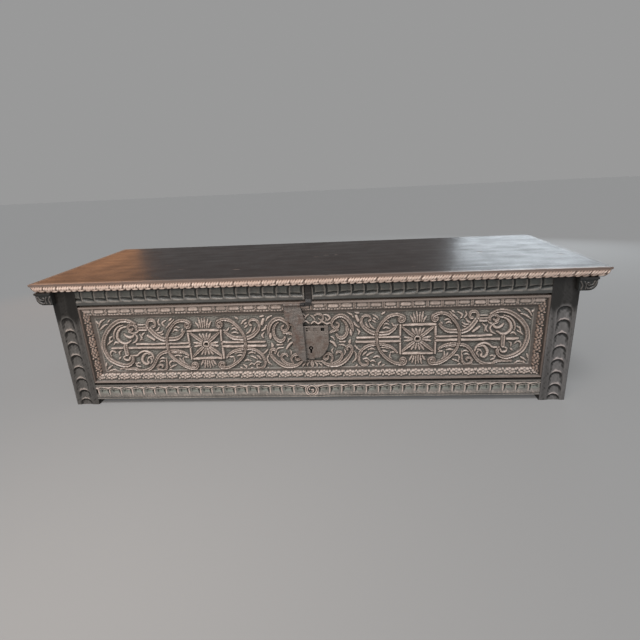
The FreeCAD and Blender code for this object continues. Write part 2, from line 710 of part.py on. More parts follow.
def frame_moulding(side):
    """One length of the mitred moulding: a lip outside, an ovolo and a fillet inside."""
    lying = side in ("top", "bottom")
    outer = {"top": FRAME_TOP, "bottom": FRAME_FOOT, "left": FRAME_LEFT, "right": FRAME_RIGHT}[side]
    sign = -1 if side in ("top", "right") else 1
    inner_y = f"{GROUND} - moulding_inner_height"
    across = [
        ("0", GROUND),
        ("0", MOULDING_FRONT),
        ("moulding_lip", MOULDING_FRONT),
        ("moulding_lip", f"{MOULDING_FRONT} + moulding_step"),
        ("moulding_width - moulding_lip", inner_y),
        ("moulding_width", inner_y),
        ("moulding_width", GROUND),
    ]
    arc_corner = 4
    outline = []
    for index, (reach, depth) in enumerate(across):
        place = f"{outer} + ({sign}) * ({reach})"
        corner = (depth, place) if lying else (place, depth)
        if index == arc_corner:
            corner += (OVOLO_SHARE * (-sign if lying else sign),)
        outline.append(corner)
    if lying:
        section = padded(f"frame_moulding_{side}_section", "YZ", outline, (FRAME_LEFT, FRAME_RIGHT))
    else:
        section = padded(f"frame_moulding_{side}_section", "XY", outline, (FRAME_FOOT, FRAME_TOP))
    return common(f"frame_moulding_{side}", section, mitre(side))


def mitre(side):
    """The four-sided prism that trims one moulding at both mitred corners."""
    corners = {
        "outer_left_top": (FRAME_LEFT, FRAME_TOP),
        "outer_left_foot": (FRAME_LEFT, FRAME_FOOT),
        "outer_right_foot": (FRAME_RIGHT, FRAME_FOOT),
        "outer_right_top": (FRAME_RIGHT, FRAME_TOP),
        "inner_left_top": (f"{FRAME_LEFT} + moulding_width", f"{FRAME_TOP} - moulding_width"),
        "inner_left_foot": (f"{FRAME_LEFT} + moulding_width", f"{FRAME_FOOT} + moulding_width"),
        "inner_right_foot": (f"{FRAME_RIGHT} - moulding_width", f"{FRAME_FOOT} + moulding_width"),
        "inner_right_top": (f"{FRAME_RIGHT} - moulding_width", f"{FRAME_TOP} - moulding_width"),
    }
    names = {
        "top": ("outer_left_top", "inner_left_top", "inner_right_top", "outer_right_top"),
        "bottom": ("outer_left_foot", "outer_right_foot", "inner_right_foot", "inner_left_foot"),
        "left": ("outer_left_top", "outer_left_foot", "inner_left_foot", "inner_left_top"),
        "right": ("inner_right_top", "inner_right_foot", "outer_right_foot", "outer_right_top"),
    }[side]
    return padded(f"frame_moulding_{side}_mitre", "XZ", [corners[name] for name in names],
                  (MOULDING_FRONT, GROUND))


def floor_boards():
    """Three boards edge to edge on the battens, notched round the posts."""
    width = f"(({BACK_INSIDE} - {RAIL_BACK}) / {len(FLOOR_BOARDS)})"
    end_inside = "end_setback + end_thick"
    x = (inward("left", end_inside, "0")[0], inward("right", "0", end_inside)[0])
    boards = []
    for index, name in enumerate(FLOOR_BOARDS):
        label = f"bottom_board_{name}"
        y = (f"{RAIL_BACK} + {index} * {width}", f"{RAIL_BACK} + {index + 1} * {width}")
        z = (FLOOR_FOOT, FLOOR_TOP)
        if name == "middle":
            boards.append(block(label, x, y, z))
            continue
        post_y = (RAIL_BACK, STILE_BACK) if name == "front" else (REAR_STILE_FRONT, BACK_INSIDE)
        notches = [block(f"{label}_notch_{side}", inward(side, end_inside, "stile_width"), post_y, z)
                   for side in SIDES]
        boards.append(cut(label, block(f"{label}_board", x, y, z), notches))
    return boards


def floor_battens():
    """The battens under the floor, along the front rail, the back board and both ends."""
    z = ("foot_height", FLOOR_FOOT)
    between = (FRAME_LEFT, FRAME_RIGHT)
    battens = [
        block("floor_batten_front", between, (RAIL_BACK, f"{RAIL_BACK} + batten_width"), z),
        block("floor_batten_rear", between, (f"{BACK_INSIDE} - batten_width", BACK_INSIDE), z),
    ]
    for side in SIDES:
        x = inward(side, "end_setback + end_thick", "end_setback + end_thick + batten_width")
        battens.append(block(f"floor_batten_{side}", x, (STILE_BACK, REAR_STILE_FRONT), z))
    return battens


def lid_slab(label, y):
    """A length of the lid with its moulded edges at both ends."""
    lip, step = f"overall_height - lid_lip_height", "lid_lip_step"
    outline = [
        (LID_LEFT, "overall_height"),
        (LID_LEFT, lip),
        (f"{LID_LEFT} + {step}", lip),
        (f"{LID_LEFT} + lid_edge_recess", RIM, OVOLO_SHARE),
        (f"{LID_RIGHT} - lid_edge_recess", RIM),
        (f"{LID_RIGHT} - {step}", lip, OVOLO_SHARE),
        (LID_RIGHT, lip),
        (LID_RIGHT, "overall_height"),
    ]
    return padded(label, "XZ", outline, y)


def lid_tongue(label):
    """The tongue that joins the front strip to the lid board, stopped short of the ends."""
    middle = "(overall_height - lid_thick / 2)"
    return block(label, (f"{LID_LEFT} + stile_width", f"{LID_RIGHT} - stile_width"),
                 (STRIP_BACK, f"{STRIP_BACK} + groove_depth"), spread(middle, "lid_tongue_thick / 2"))


def lid_front_strip(strap_bed):
    """The strip along the lid's front, with the moulded edge returned at both ends."""
    lip, step = "overall_height - lid_lip_height", "lid_lip_step"
    outline = [
        (LID_FRONT, "overall_height"),
        (LID_FRONT, lip),
        (f"{LID_FRONT} + {step}", lip),
        (f"{LID_FRONT} + lid_edge_recess", RIM, OVOLO_SHARE),
        (STRIP_BACK, RIM),
        (STRIP_BACK, "overall_height"),
    ]
    section = padded("lid_front_strip_section", "YZ", outline, (LID_LEFT, LID_RIGHT))
    ends = lid_slab("lid_front_strip_ends", (LID_FRONT, STRIP_BACK))
    returned = common("lid_front_strip_returned", section, ends)
    return cut("lid_front_strip", fused("lid_front_strip_joined", [returned, lid_tongue("lid_strip_tongue")]),
               [strap_bed])


def lid_board(cuts):
    """The lid board behind the strip, with a groove in front and beds for the irons below."""
    slab = lid_slab("lid_board_slab", (STRIP_BACK, LID_BACK))
    return cut("lid_board", slab, [lid_tongue("lid_board_groove")] + cuts)


def cleat(side, nail_shanks):
    """A cleat under one end of the lid: a moulded length outside the case with an ear in front of it."""
    edge, sign = SIDES[side]
    foot = f"({RIM} - cleat_height)"
    fillet = f"{RIM} - cleat_fillet_height"

    def place(out):
        return f"{edge} - ({sign}) * ({out})"

    outer = "cleat_gap + cleat_thick"
    profile = [
        (place("cleat_gap"), RIM),
        (place(outer), RIM),
        (place(outer), fillet),
        (place(f"{outer} - cleat_fillet_step"), fillet),
        (place(f"{outer} - cleat_fillet_step"), f"{foot} + cleat_corner"),
        (place(f"{outer} - cleat_fillet_step - cleat_corner"), foot, QUARTER_ROUND_SHARE * sign),
        (place("cleat_gap"), foot),
    ]
    y = (f"{LID_FRONT} + cleat_front_setback", f"{CASE_BACK} - cleat_back_setback")
    length = padded(f"lid_cleat_{side}_length", "XZ", profile, y)
    ear_x = (place("cleat_gap"), place("-cleat_ear"))
    if sign < 0:
        ear_x = ear_x[::-1]
    ear = block(f"lid_cleat_{side}_ear", ear_x, (y[0], f"{CASE_FRONT} - cleat_gap"), (foot, RIM))
    return cut(f"lid_cleat_{side}", fused(f"lid_cleat_{side}_joined", [length, ear]), nail_shanks)


def hinge_centre(side):
    """The middle of one hinge along the case."""
    return inward(side, "hinge_inset", "hinge_inset")[0]


def hinge_bore(label, centre):
    """The bore that the hinge pin turns in."""
    return rod(label, "x", "hinge_pin_radius + running_clearance", spread(centre, "leaf_width"),
               y=HINGE_Y, z=HINGE_Z)


def hinge_leaf_case(side, nail_shanks):
    """The leaf nailed down the back board, with two outer knuckles."""
    label, centre = f"hinge_leaf_case_{side}", hinge_centre(side)
    y = (CASE_BACK, f"{CASE_BACK} + leaf_thick")
    parts = [block(f"{label}_plate", spread(centre, "leaf_width / 2"), y,
                   (f"{RIM} - case_leaf_length", f"{RIM} - side_play"))]
    for place, ends in outer_knuckles(centre).items():
        parts.append(block(f"{label}_{place}_neck", ends, y, (f"{RIM} - side_play", HINGE_Z)))
        parts.append(rod(f"{label}_{place}_knuckle", "x", "knuckle_radius", ends, y=HINGE_Y, z=HINGE_Z))
    return cut(label, fused(f"{label}_joined", parts), [hinge_bore(f"{label}_bore", centre)] + nail_shanks)


def outer_knuckles(centre):
    """The pairs of planes of a hinge's two outer knuckles."""
    return {
        "left": (f"{centre} - leaf_width / 2", f"{centre} - leaf_width / 2 + knuckle_length"),
        "right": (f"{centre} + leaf_width / 2 - knuckle_length", f"{centre} + leaf_width / 2"),
    }


def lid_leaf_plate(label, centre):
    """The flat of the leaf under the lid, also the bed that is cut for it."""
    return block(label, spread(centre, "leaf_width / 2"), (f"{HINGE_Y} - lid_leaf_length", LID_BACK),
                 (RIM, f"{RIM} + leaf_thick"))


def hinge_leaf_lid(side, nail_shanks):
    """The long leaf let into the lid's underside, with the middle knuckle."""
    label, centre = f"hinge_leaf_lid_{side}", hinge_centre(side)
    middle = spread(centre, "leaf_width / 2 - knuckle_length - side_play")
    parts = [
        lid_leaf_plate(f"{label}_plate", centre),
        block(f"{label}_neck", middle, (LID_BACK, HINGE_Y), (RIM, f"{RIM} + leaf_thick")),
        rod(f"{label}_knuckle", "x", "knuckle_radius", middle, y=HINGE_Y, z=HINGE_Z),
    ]
    return cut(label, fused(f"{label}_joined", parts), [hinge_bore(f"{label}_bore", centre)] + nail_shanks)


def hinge_pin(side):
    """The pin through the three knuckles, with a head at each end."""
    label, centre = f"hinge_pin_{side}", hinge_centre(side)
    half = "leaf_width / 2"
    parts = [rod(f"{label}_shank", "x", "hinge_pin_radius", spread(centre, f"{half} + hinge_pin_head_height"),
                 y=HINGE_Y, z=HINGE_Z)]
    heads = {
        "left": (f"{centre} - {half} - hinge_pin_head_height", f"{centre} - {half}"),
        "right": (f"{centre} + {half}", f"{centre} + {half} + hinge_pin_head_height"),
    }
    for place, ends in heads.items():
        parts.append(rod(f"{label}_{place}_head", "x", "hinge_pin_head_radius", ends, y=HINGE_Y, z=HINGE_Z,
                         sides=PIN_HEAD_SIDES))
    return fused(label, parts)


def slot_centre(index):
    """The middle of one slot of the row across the lock plate."""
    return f"slot_shift + ({index - (PLATE_SLOTS - 1) / 2}) * slot_pitch"


def lock_plate(nail_shanks):
    """The iron plate over the lock, pierced with a row of slots and the keyhole."""
    through = (PLATE_FRONT, PLATE_BACK)
    cuts = [block(f"lock_plate_slot_{index}", spread(slot_centre(index), "slot_width / 2"), through,
                  spread(SLOT_Z, "slot_height / 2")) for index in range(PLATE_SLOTS)]
    keyhole = fused("lock_plate_keyhole", [
        rod("lock_plate_keyhole_head", "y", "keyhole_radius", through, z=KEYHOLE_Z),
        block("lock_plate_keyhole_slot", spread("0", "keyhole_slot_width / 2"), through,
              (KEYHOLE_FOOT, KEYHOLE_Z)),
    ])
    return cut("lock_plate", shield("lock_plate_shield", through), cuts + [keyhole] + nail_shanks)


def bolt_bar(label, grow):
    """The bolt's bar behind the plate, or with a clearance the channel that it slides in."""
    left = f"{BOLT_LEFT} + bolt_tip_length"
    return block(label, (left, f"{BOLT_LEFT} + bolt_length"),
                 (f"{BOLT_FRONT} - {grow}", f"{BOLT_FRONT} + bolt_thick + {grow}"),
                 spread(SLOT_Z, f"bolt_height / 2 + {grow}"))


def lock_case():
    """The iron box of the lock, open towards the plate, with the guide of the bolt inside."""
    outer = block("lock_case_outer", spread("0", "lock_width / 2"), (PLATE_BACK, LOCK_BACK),
                  (LOCK_FOOT, LOCK_TOP))
    inner = block("lock_case_inner", spread("0", "lock_width / 2 - lock_wall"),
                  (PLATE_BACK, f"{LOCK_BACK} - lock_wall"),
                  (f"{LOCK_FOOT} + lock_wall", f"{LOCK_TOP} - lock_wall"))
    guide_left = "talon_width / 2 + sliding_clearance"
    guide = block("lock_case_guide_block", (guide_left, f"{guide_left} + guide_length"),
                  (BOLT_FRONT, f"{LOCK_BACK} - lock_wall"), spread(SLOT_Z, "bolt_height / 2 + guide_edge"))
    channel = bolt_bar("lock_case_channel", "sliding_clearance")
    hollow = cut("lock_case_hollow", outer, [inner])
    return fused("lock_case", [hollow, cut("lock_case_guide", guide, [channel])])


def lock_bolt():
    """The bolt: a thin tip that passes the hasp's staple, a bar, and a talon that the key moves."""
    y = (BOLT_FRONT, f"{BOLT_FRONT} + bolt_thick")
    talon_foot = f"{KEYHOLE_Z} + talon_above_key"
    parts = [
        block("lock_bolt_tip", (BOLT_LEFT, f"{BOLT_LEFT} + bolt_tip_length"), y,
              spread(SLOT_Z, "bolt_tip_height / 2")),
        bolt_bar("lock_bolt_bar", "0"),
        block("lock_bolt_talon", spread("0", "talon_width / 2"), y, (talon_foot, SLOT_Z)),
    ]
    notch = rod("lock_bolt_notch", "y", "talon_notch_radius", y, z=talon_foot)
    return cut("lock_bolt", fused("lock_bolt_joined", parts), [notch])


def key_pin():
    """The pin in the middle of the keyhole that a hollow key turns on."""
    return rod("key_pin", "y", "key_pin_radius", (PLATE_FRONT, f"{LOCK_BACK} - lock_wall"), z=KEYHOLE_Z)


def strap_bed():
    """The shallow bed for the strap's arm in the lid's underside."""
    front = f"{CASE_FRONT} + strap_setback"
    return block("strap_bed", spread("0", "strap_width / 2"), (front, f"{front} + strap_arm_length"),
                 (RIM, f"{RIM} + strap_thick"))


def hasp_strap(nail_shanks):
    """The strap that holds the hasp: an arm under the lid, a bend down through the rail, and an eye."""
    front = f"({CASE_FRONT} + strap_setback)"
    face = f"({CASE_FRONT} - strap_thick)"
    tail = f"({HASP_Z} - strap_tail)"
    outline = [
        (f"{front} + strap_arm_length", f"{RIM} + strap_thick"),
        (front, f"{RIM} + strap_thick"),
        (front, TOP_RAIL_FOOT),
        (face, FRAME_TOP),
        (face, tail),
        (CASE_FRONT, tail),
        (CASE_FRONT, FRAME_TOP),
        (f"{front} + strap_thick", TOP_RAIL_FOOT),
        (f"{front} + strap_thick", RIM),
        (f"{front} + strap_arm_length", RIM),
    ]
    bent = padded("hasp_strap_bent", "YZ", outline, spread("0", "strap_width / 2"))
    foot = block("hasp_strap_foot", (EYE_LEFT, "0"), (face, CASE_FRONT),
                 (tail, f"{HASP_Z} + strap_foot_rise"))
    ends = (EYE_LEFT, EYE_RIGHT)
    eye = rod("hasp_strap_eye", "x", "hasp_knuckle_radius", ends, y=HASP_Y, z=HASP_Z)
    bore = rod("hasp_strap_bore", "x", "hasp_pin_radius + running_clearance", ends, y=HASP_Y, z=HASP_Z)
    return cut("hasp_strap", fused("hasp_strap_joined", [bent, foot, eye]), [bore] + nail_shanks)


def hasp_pin():
    """The pin fixed in the strap's eye, with a head at its far end, that the hasp swings on."""
    far = f"({HASP_LEFT} - side_play)"
    shank = rod("hasp_pin_shank", "x", "hasp_pin_radius", (far, EYE_RIGHT), y=HASP_Y, z=HASP_Z)
    head = rod("hasp_pin_head", "x", "hasp_pin_head_radius", (f"{far} - hasp_pin_head_length", far),
               y=HASP_Y, z=HASP_Z, sides=PIN_HEAD_SIDES)
    return fused("hasp_pin", [shank, head])


def hang(piece):
    """Set a piece drawn about the hasp's pin in its place, leaning on the lock plate."""
    reach = "(hasp_knuckle_radius + staple_length)"
    drop = "(staple_drop - staple_height / 2)"
    stand = "(hasp_knuckle_radius + plate_setback - sliding_clearance)"
    lean = f"atan({reach} / {drop}) - asin({stand} / sqrt({reach}^2 + {drop}^2))"
    piece.Placement.Rotation = FreeCAD.Rotation(FreeCAD.Vector(-1, 0, 0), 1)
    bind(piece, Placement__Base__y=HASP_Y, Placement__Base__z=HASP_Z, Placement__Rotation__Angle=lean)
    return piece


def hasp():
    """The hasp: a knuckle, a plate, a neck and a long leaf-shaped tongue that hangs askew."""
    down_left = [(f"{HASP_LEFT} + {left} * hasp_plate_width", f"-{drop} * hasp_length")
                 for left, right, drop in HASP_SHARES]
    up_right = [(f"{HASP_LEFT} + {right} * hasp_plate_width", f"-{drop} * hasp_length")
                for left, right, drop in reversed(HASP_SHARES)]
    back = "hasp_knuckle_radius"
    leaf = padded("hasp_leaf", "XZ", down_left + up_right, (f"{back} - hasp_thick", back))
    knuckle = rod("hasp_knuckle", "x", "hasp_knuckle_radius", (HASP_LEFT, HASP_RIGHT))
    bore = rod("hasp_bore", "x", "hasp_pin_radius + running_clearance", (HASP_LEFT, HASP_RIGHT))
    return hang(cut("hasp", fused("hasp_joined", [leaf, knuckle]), [bore]))


def hasp_staple():
    """The staple on the back of the hasp that enters the lock, with an eye for the bolt."""
    x = spread("-staple_left", "staple_width / 2")
    y = ("hasp_knuckle_radius", "hasp_knuckle_radius + staple_length")
    solid = block("hasp_staple_solid", x, y, spread("-staple_drop", "staple_height / 2"))
    eye = block("hasp_staple_eye", x, (f"{BOLT_FRONT} - {PLATE_FRONT} + {y[0]} - sliding_clearance",
                                       f"{y[1]} - staple_wall"),
                spread("-staple_drop", "staple_height / 2 - staple_wall"))
    return hang(cut("hasp_staple", solid, [eye]))


def build():
    """Make every piece and return those that are written, by name."""
    case_nails, case_shanks = {side: [] for side in SIDES}, {side: [] for side in SIDES}
    lid_nails, lid_shanks = {side: [] for side in SIDES}, {side: [] for side in SIDES}
    cleat_nails, cleat_shanks = [], {side: [] for side in SIDES}
    for side in SIDES:
        edge, sign = SIDES[side]
        for share in CASE_NAIL_SHARES:
            made, shank = nail(f"nail_case_{side}_{len(case_nails[side])}", "-y", hinge_centre(side),
                               f"{CASE_BACK} + leaf_thick", f"{RIM} - case_leaf_length * {share}")
            case_nails[side].append(made)
            case_shanks[side].append(shank)
        for share in LID_NAIL_SHARES:
            made, shank = nail(f"nail_lid_{side}_{len(lid_nails[side])}", "+z", hinge_centre(side),
                               f"{HINGE_Y} - lid_leaf_length * {share}", RIM)
            lid_nails[side].append(made)
            lid_shanks[side].append(shank)
        for share in CLEAT_NAIL_SHARES:
            made, shank = nail(f"nail_cleat_{side}_{len(cleat_shanks[side])}", "+z",
                               f"{edge} - ({sign}) * (cleat_gap + cleat_thick * {CLEAT_NAIL_ACROSS_SHARE})",
                               f"{LID_FRONT} + lid_depth * {share}", f"{RIM} - cleat_height",
                               "cleat_nail_length")
            cleat_nails.append(made)
            cleat_shanks[side].append(shank)
    strap_nails, strap_shanks = [], []
    for share in STRAP_NAIL_SHARES:
        made, shank = nail(f"nail_strap_{len(strap_nails)}", "+z", "0",
                           f"{CASE_FRONT} + strap_setback + strap_arm_length * {share}", RIM)
        strap_nails.append(made)
        strap_shanks.append(shank)
    plate_nails, plate_shanks = [], []
    for sign in (-1, 1):
        for across, down in PLATE_NAIL_SHARES:
            made, shank = nail(f"nail_plate_{len(plate_nails)}", "+y", f"({sign * across}) * plate_width / 2",
                               PLATE_FRONT, f"{PLATE_TOP} - {PLATE_HEIGHT} * {down}")
            plate_nails.append(made)
            plate_shanks.append(shank)
    pegs = tenon_pegs()
    notch = block("top_rail_notch", spread("0", "notch_width / 2"),
                  (CASE_FRONT, f"{CASE_FRONT} + notch_depth"), (TOP_RAIL_FOOT, RIM))
    bed = strap_bed()
    both_lid_shanks = lid_shanks["left"] + lid_shanks["right"]
    lid_cuts = [lid_leaf_plate(f"lid_bed_{side}", hinge_centre(side)) for side in SIDES]
    all_cleat_shanks = cleat_shanks["left"] + cleat_shanks["right"]
    half = len(pegs) // 2
    top_flutes = gadroons("top_rail_front", f"{TOP_RAIL_FOOT} + gadroon_band", f"{RIM} - gadroon_top_margin",
                          "0", "notch_width / 2")
    bottom_flutes = gadroons("bottom_rail_front", "foot_height + gadroon_band",
                             f"{BOTTOM_RAIL_TOP} - gadroon_band", "rosette_shift", "rosette_radius")
    pieces = [
        stile_front("left", pegs[:half]),
        stile_front("right", pegs[half:]),
        stile_rear("left"),
        stile_rear("right"),
        rail("top_rail_front", TOP_RAIL_FOOT, RIM, [notch] + pegs + top_flutes, True),
        rail("bottom_rail_front", "foot_height", BOTTOM_RAIL_TOP, pegs + bottom_flutes + [rosette_recess()],
             False),
        group("tenon_pegs", pegs),
        front_panel(plate_shanks),
        frame_moulding("top"),
        frame_moulding("bottom"),
        frame_moulding("left"),
        frame_moulding("right"),
        end_board("left"),
        end_board("right"),
        back_board(case_shanks["left"] + case_shanks["right"]),
        *floor_boards(),
        *floor_battens(),
        lid_board(lid_cuts + [bed] + both_lid_shanks + strap_shanks + all_cleat_shanks),
        lid_front_strip(bed),
        cleat("left", cleat_shanks["left"]),
        cleat("right", cleat_shanks["right"]),
        group("cleat_nails", cleat_nails),
        hinge_leaf_case("left", case_shanks["left"]),
        hinge_leaf_case("right", case_shanks["right"]),
        hinge_leaf_lid("left", lid_shanks["left"]),
        hinge_leaf_lid("right", lid_shanks["right"]),
        hinge_pin("left"),
        hinge_pin("right"),
        group("hinge_nails_case", case_nails["left"] + case_nails["right"]),
        group("hinge_nails_lid", lid_nails["left"] + lid_nails["right"]),
        lock_plate(plate_shanks),
        group("lock_plate_nails", plate_nails),
        lock_case(),
        lock_bolt(),
        key_pin(),
        hasp_strap(strap_shanks),
        group("hasp_strap_nails", strap_nails),
        hasp_pin(),
        hasp(),
        hasp_staple(),
    ]
    return {piece.Label: piece for piece in pieces}


def check(pieces):
    """Stop if anything in the document failed or a piece has no sound shape."""
    document.recompute()
    failed = [item.Label for item in document.Objects if {"Invalid", "Error"} & set(item.State)]
    unsound = [name for name, piece in pieces.items() if piece.Shape.isNull() or not piece.Shape.isValid()]
    if failed or unsound:
        raise RuntimeError(f"failed: {failed}, unsound: {unsound}")


def write(pieces):
    """Write each piece to its own file."""
    os.makedirs("parts", exist_ok=True)
    for name, piece in pieces.items():
        piece.Shape.exportStep(os.path.join("parts", f"{name}.step"))
        print(f"{name}: {len(piece.Shape.Solids)} solid, {piece.Shape.Volume / 1000:.1f} cm3")


made_pieces = build()
check(made_pieces)
write(made_pieces)
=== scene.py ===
"""Dress a carved joined chest: its worked wood, its polished lid and its forged iron."""

import logging
import math
from dataclasses import dataclass, field
from enum import Enum
from typing import Callable, Iterable, Sequence

import bmesh
import bpy
import numpy as np
from mathutils import Matrix, Vector


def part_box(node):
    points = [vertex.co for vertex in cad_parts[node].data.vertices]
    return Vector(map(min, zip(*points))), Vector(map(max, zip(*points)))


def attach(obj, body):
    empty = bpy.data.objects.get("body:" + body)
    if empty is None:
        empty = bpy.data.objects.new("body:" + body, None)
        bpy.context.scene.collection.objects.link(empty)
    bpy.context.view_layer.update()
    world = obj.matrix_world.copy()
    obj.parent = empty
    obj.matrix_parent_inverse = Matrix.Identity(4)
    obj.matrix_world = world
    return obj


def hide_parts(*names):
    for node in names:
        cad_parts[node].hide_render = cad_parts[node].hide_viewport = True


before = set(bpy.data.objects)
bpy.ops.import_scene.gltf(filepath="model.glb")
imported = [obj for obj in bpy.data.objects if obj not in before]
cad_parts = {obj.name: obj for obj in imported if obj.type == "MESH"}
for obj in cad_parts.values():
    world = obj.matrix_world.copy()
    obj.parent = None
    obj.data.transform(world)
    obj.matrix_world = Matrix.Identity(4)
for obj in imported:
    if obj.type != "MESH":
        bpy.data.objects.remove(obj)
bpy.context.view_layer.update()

LOG = logging.getLogger("chest")
MM = 0.001

Socket = bpy.types.NodeSocket
Line = np.ndarray
Colour = tuple[float, float, float]
NO_VECTOR = (0.0, 0.0, 0.0)
TONGUE = 8 * MM
WOOD_PORE, IRON_PIT = 1.2 * MM, 0.8 * MM
SHARP_CARVING, SHARP_IRON = math.radians(50), math.radians(45)


class Section(Enum):
    """How a carved stroke is shaped across its width."""

    HOLLOW = "hollow"
    ROUND = "round"
    LEAF = "leaf"
    FLAT = "flat"


class Grain(Enum):
    """The way that the wood's fibres run."""

    ALONG_X = (1.0, 16.0, 16.0)
    ALONG_Y = (16.0, 1.0, 16.0)
    ALONG_Z = (16.0, 16.0, 1.0)


class Side(Enum):
    """One end of the chest, with the sign of X there."""

    LEFT = -1
    RIGHT = 1

    @property
    def word(self) -> str:
        """The side's name as the nodes spell it."""
        return self.name.lower()


def smoothstep(low: float, high: float, value: np.ndarray) -> np.ndarray:
    """Rise smoothly from 0 at low to 1 at high.

    Args:
        low: Where the rise starts.
        high: Where the rise ends.
        value: The places to work out.

    Returns:
        The share of the rise at each place.
    """
    share = np.clip((value - low) / (high - low), 0.0, 1.0)
    return share * share * (3.0 - 2.0 * share)


def half_round(share: np.ndarray) -> np.ndarray:
    """The height of a half circle of radius 1, and 0 beside it."""
    return np.sqrt(np.clip(1 - share**2, 0, 1))


def blurred(field_: np.ndarray, reach: int) -> np.ndarray:
    """Average a grid over a square window.

    Args:
        field_: The grid.
        reach: Cells to each side of the middle one.

    Returns:
        The averaged grid, of the same size.
    """
    result = field_
    for axis in (0, 1):
        padding = [(0, 0), (0, 0)]
        padding[axis] = (reach + 1, reach)
        total = np.cumsum(np.pad(result, padding, mode="edge"), axis=axis)
        window = 2 * reach + 1
        count = result.shape[axis]
        upper = np.take(total, range(window, window + count), axis=axis)
        lower = np.take(total, range(count), axis=axis)
        result = (upper - lower) / window
    return result


def spaced(start: float, stop: float, step: float, kept: Iterable[float] = ()) -> np.ndarray:
    """Places from start to stop, at most a step apart, that include the kept ones.

    Args:
        start: The first place.
        stop: The last place.
        step: The widest gap.
        kept: Places that fall exactly on a grid line.

    Returns:
        The places in order.
    """
    marks = sorted({start, stop, *(place for place in kept if start < place < stop)})
    runs = [np.linspace(a, b, max(2, math.ceil((b - a) / step) + 1))[:-1] for a, b in zip(marks, marks[1:])]
    return np.append(np.concatenate(runs), stop)


@dataclass(frozen=True)
class Unevenness:
    """Seeded smooth waves, like what a hand tool leaves."""

    seed: int
    size: float
    reach: float
    waves: int = 9

    def at(self, across: np.ndarray, up: np.ndarray) -> np.ndarray:
        """The wave's height at each place.

        Args:
            across: First coordinate of each place.
            up: Second coordinate of each place.

        Returns:
            Heights from about minus reach to reach.
        """
        draw = np.random.default_rng(self.seed)
        total = np.zeros(np.broadcast(across, up).shape)
        for _ in range(self.waves):
            turn, phase = draw.uniform(0, math.tau, 2)
            pace = math.tau / (self.size * draw.uniform(0.6, 1.8))
            total += np.sin(pace * (across * math.cos(turn) + up * math.sin(turn)) + phase)
        return total * self.reach / math.sqrt(self.waves)


@dataclass(frozen=True)
class Curl:
    """A volute at one end of a stroke."""

    radius: float
    turns: float
    side: int
    shrink: float = 0.25


@dataclass(frozen=True)
class Stroke:
    """One carved band or leaf. Its places and widths are in millimetres."""

    points: tuple[tuple[float, float], ...]
    width: tuple[float, ...]
    rise: float
    section: Section = Section.HOLLOW
    start: Curl | None = None
    end: Curl | None = None

    def line(self) -> tuple[Line, np.ndarray]:
        """The stroke's middle line with its curls.

        Returns:
            The places in metres, and half the stroke's width at each.
        """
        body = smooth_line(np.array(self.points) * MM)
        head = curl_line(body[1], body[0], self.start)[::-1]
        tail = curl_line(body[-2], body[-1], self.end)
        whole = np.concatenate([head, body, tail])
        share = np.concatenate([np.zeros(len(head)), np.linspace(0, 1, len(body)), np.ones(len(tail))])
        half = np.interp(share, np.linspace(0, 1, len(self.width)), self.width) * MM / 2
        for count, curl, backwards in ((len(head), self.start, True), (len(tail), self.end, False)):
            if curl and count:
                thin = np.linspace(1.0, 0.55, count)
                if backwards:
                    half[:count] *= thin[::-1]
                else:
                    half[-count:] *= thin
        return whole, half


def cut(section: Section, rise: float, width: tuple[float, ...], *points: tuple[float, float]) -> Stroke:
    """A stroke without curls through some points."""
    return Stroke(points, width, rise, section)


LINE_STEP = 1.0 * MM


def smooth_line(points: np.ndarray) -> Line:
    """A smooth curve through a few places.

    Args:
        points: The places, two or more.

    Returns:
        Places about a line step apart along a Catmull-Rom curve.
    """
    if len(points) == 2:
        count = max(2, int(np.linalg.norm(points[1] - points[0]) / LINE_STEP))
        return points[0] + np.linspace(0, 1, count)[:, None] * (points[1] - points[0])
    ends = [2 * points[0] - points[1], *points, 2 * points[-1] - points[-2]]
    pieces = []
    for a, b, c, d in zip(ends, ends[1:], ends[2:], ends[3:]):
        t = np.linspace(0, 1, max(3, int(np.linalg.norm(c - b) / LINE_STEP)), endpoint=False)[:, None]
        pieces.append(0.5 * (2 * b + (c - a) * t + (2 * a - 5 * b + 4 * c - d) * t**2
                             + (3 * b - a - 3 * c + d) * t**3))
    return np.concatenate([*pieces, points[-1:]])


def curl_line(before: np.ndarray, end: np.ndarray, curl: Curl | None) -> Line:
    """The spiral that carries on from a stroke's end.

    Args:
        before: The place before the end, which gives the direction.
        end: The stroke's end.
        curl: The volute, or None.

    Returns:
        Places along the spiral, without the stroke's end.
    """
    if curl is None:
        return np.zeros((0, 2))
    way = (end - before) / np.linalg.norm(end - before)
    normal = curl.side * np.array([-way[1], way[0]])
    radius = curl.radius * MM
    centre = end + normal * radius
    turn = curl.turns * math.tau
    angles = np.linspace(0, turn, max(6, int(turn * radius / LINE_STEP)))[1:]
    shrinking = radius * (1 - (1 - curl.shrink) * angles / angles[-1])
    return centre + shrinking[:, None] * (-normal * np.cos(angles)[:, None] + way * np.sin(angles)[:, None])


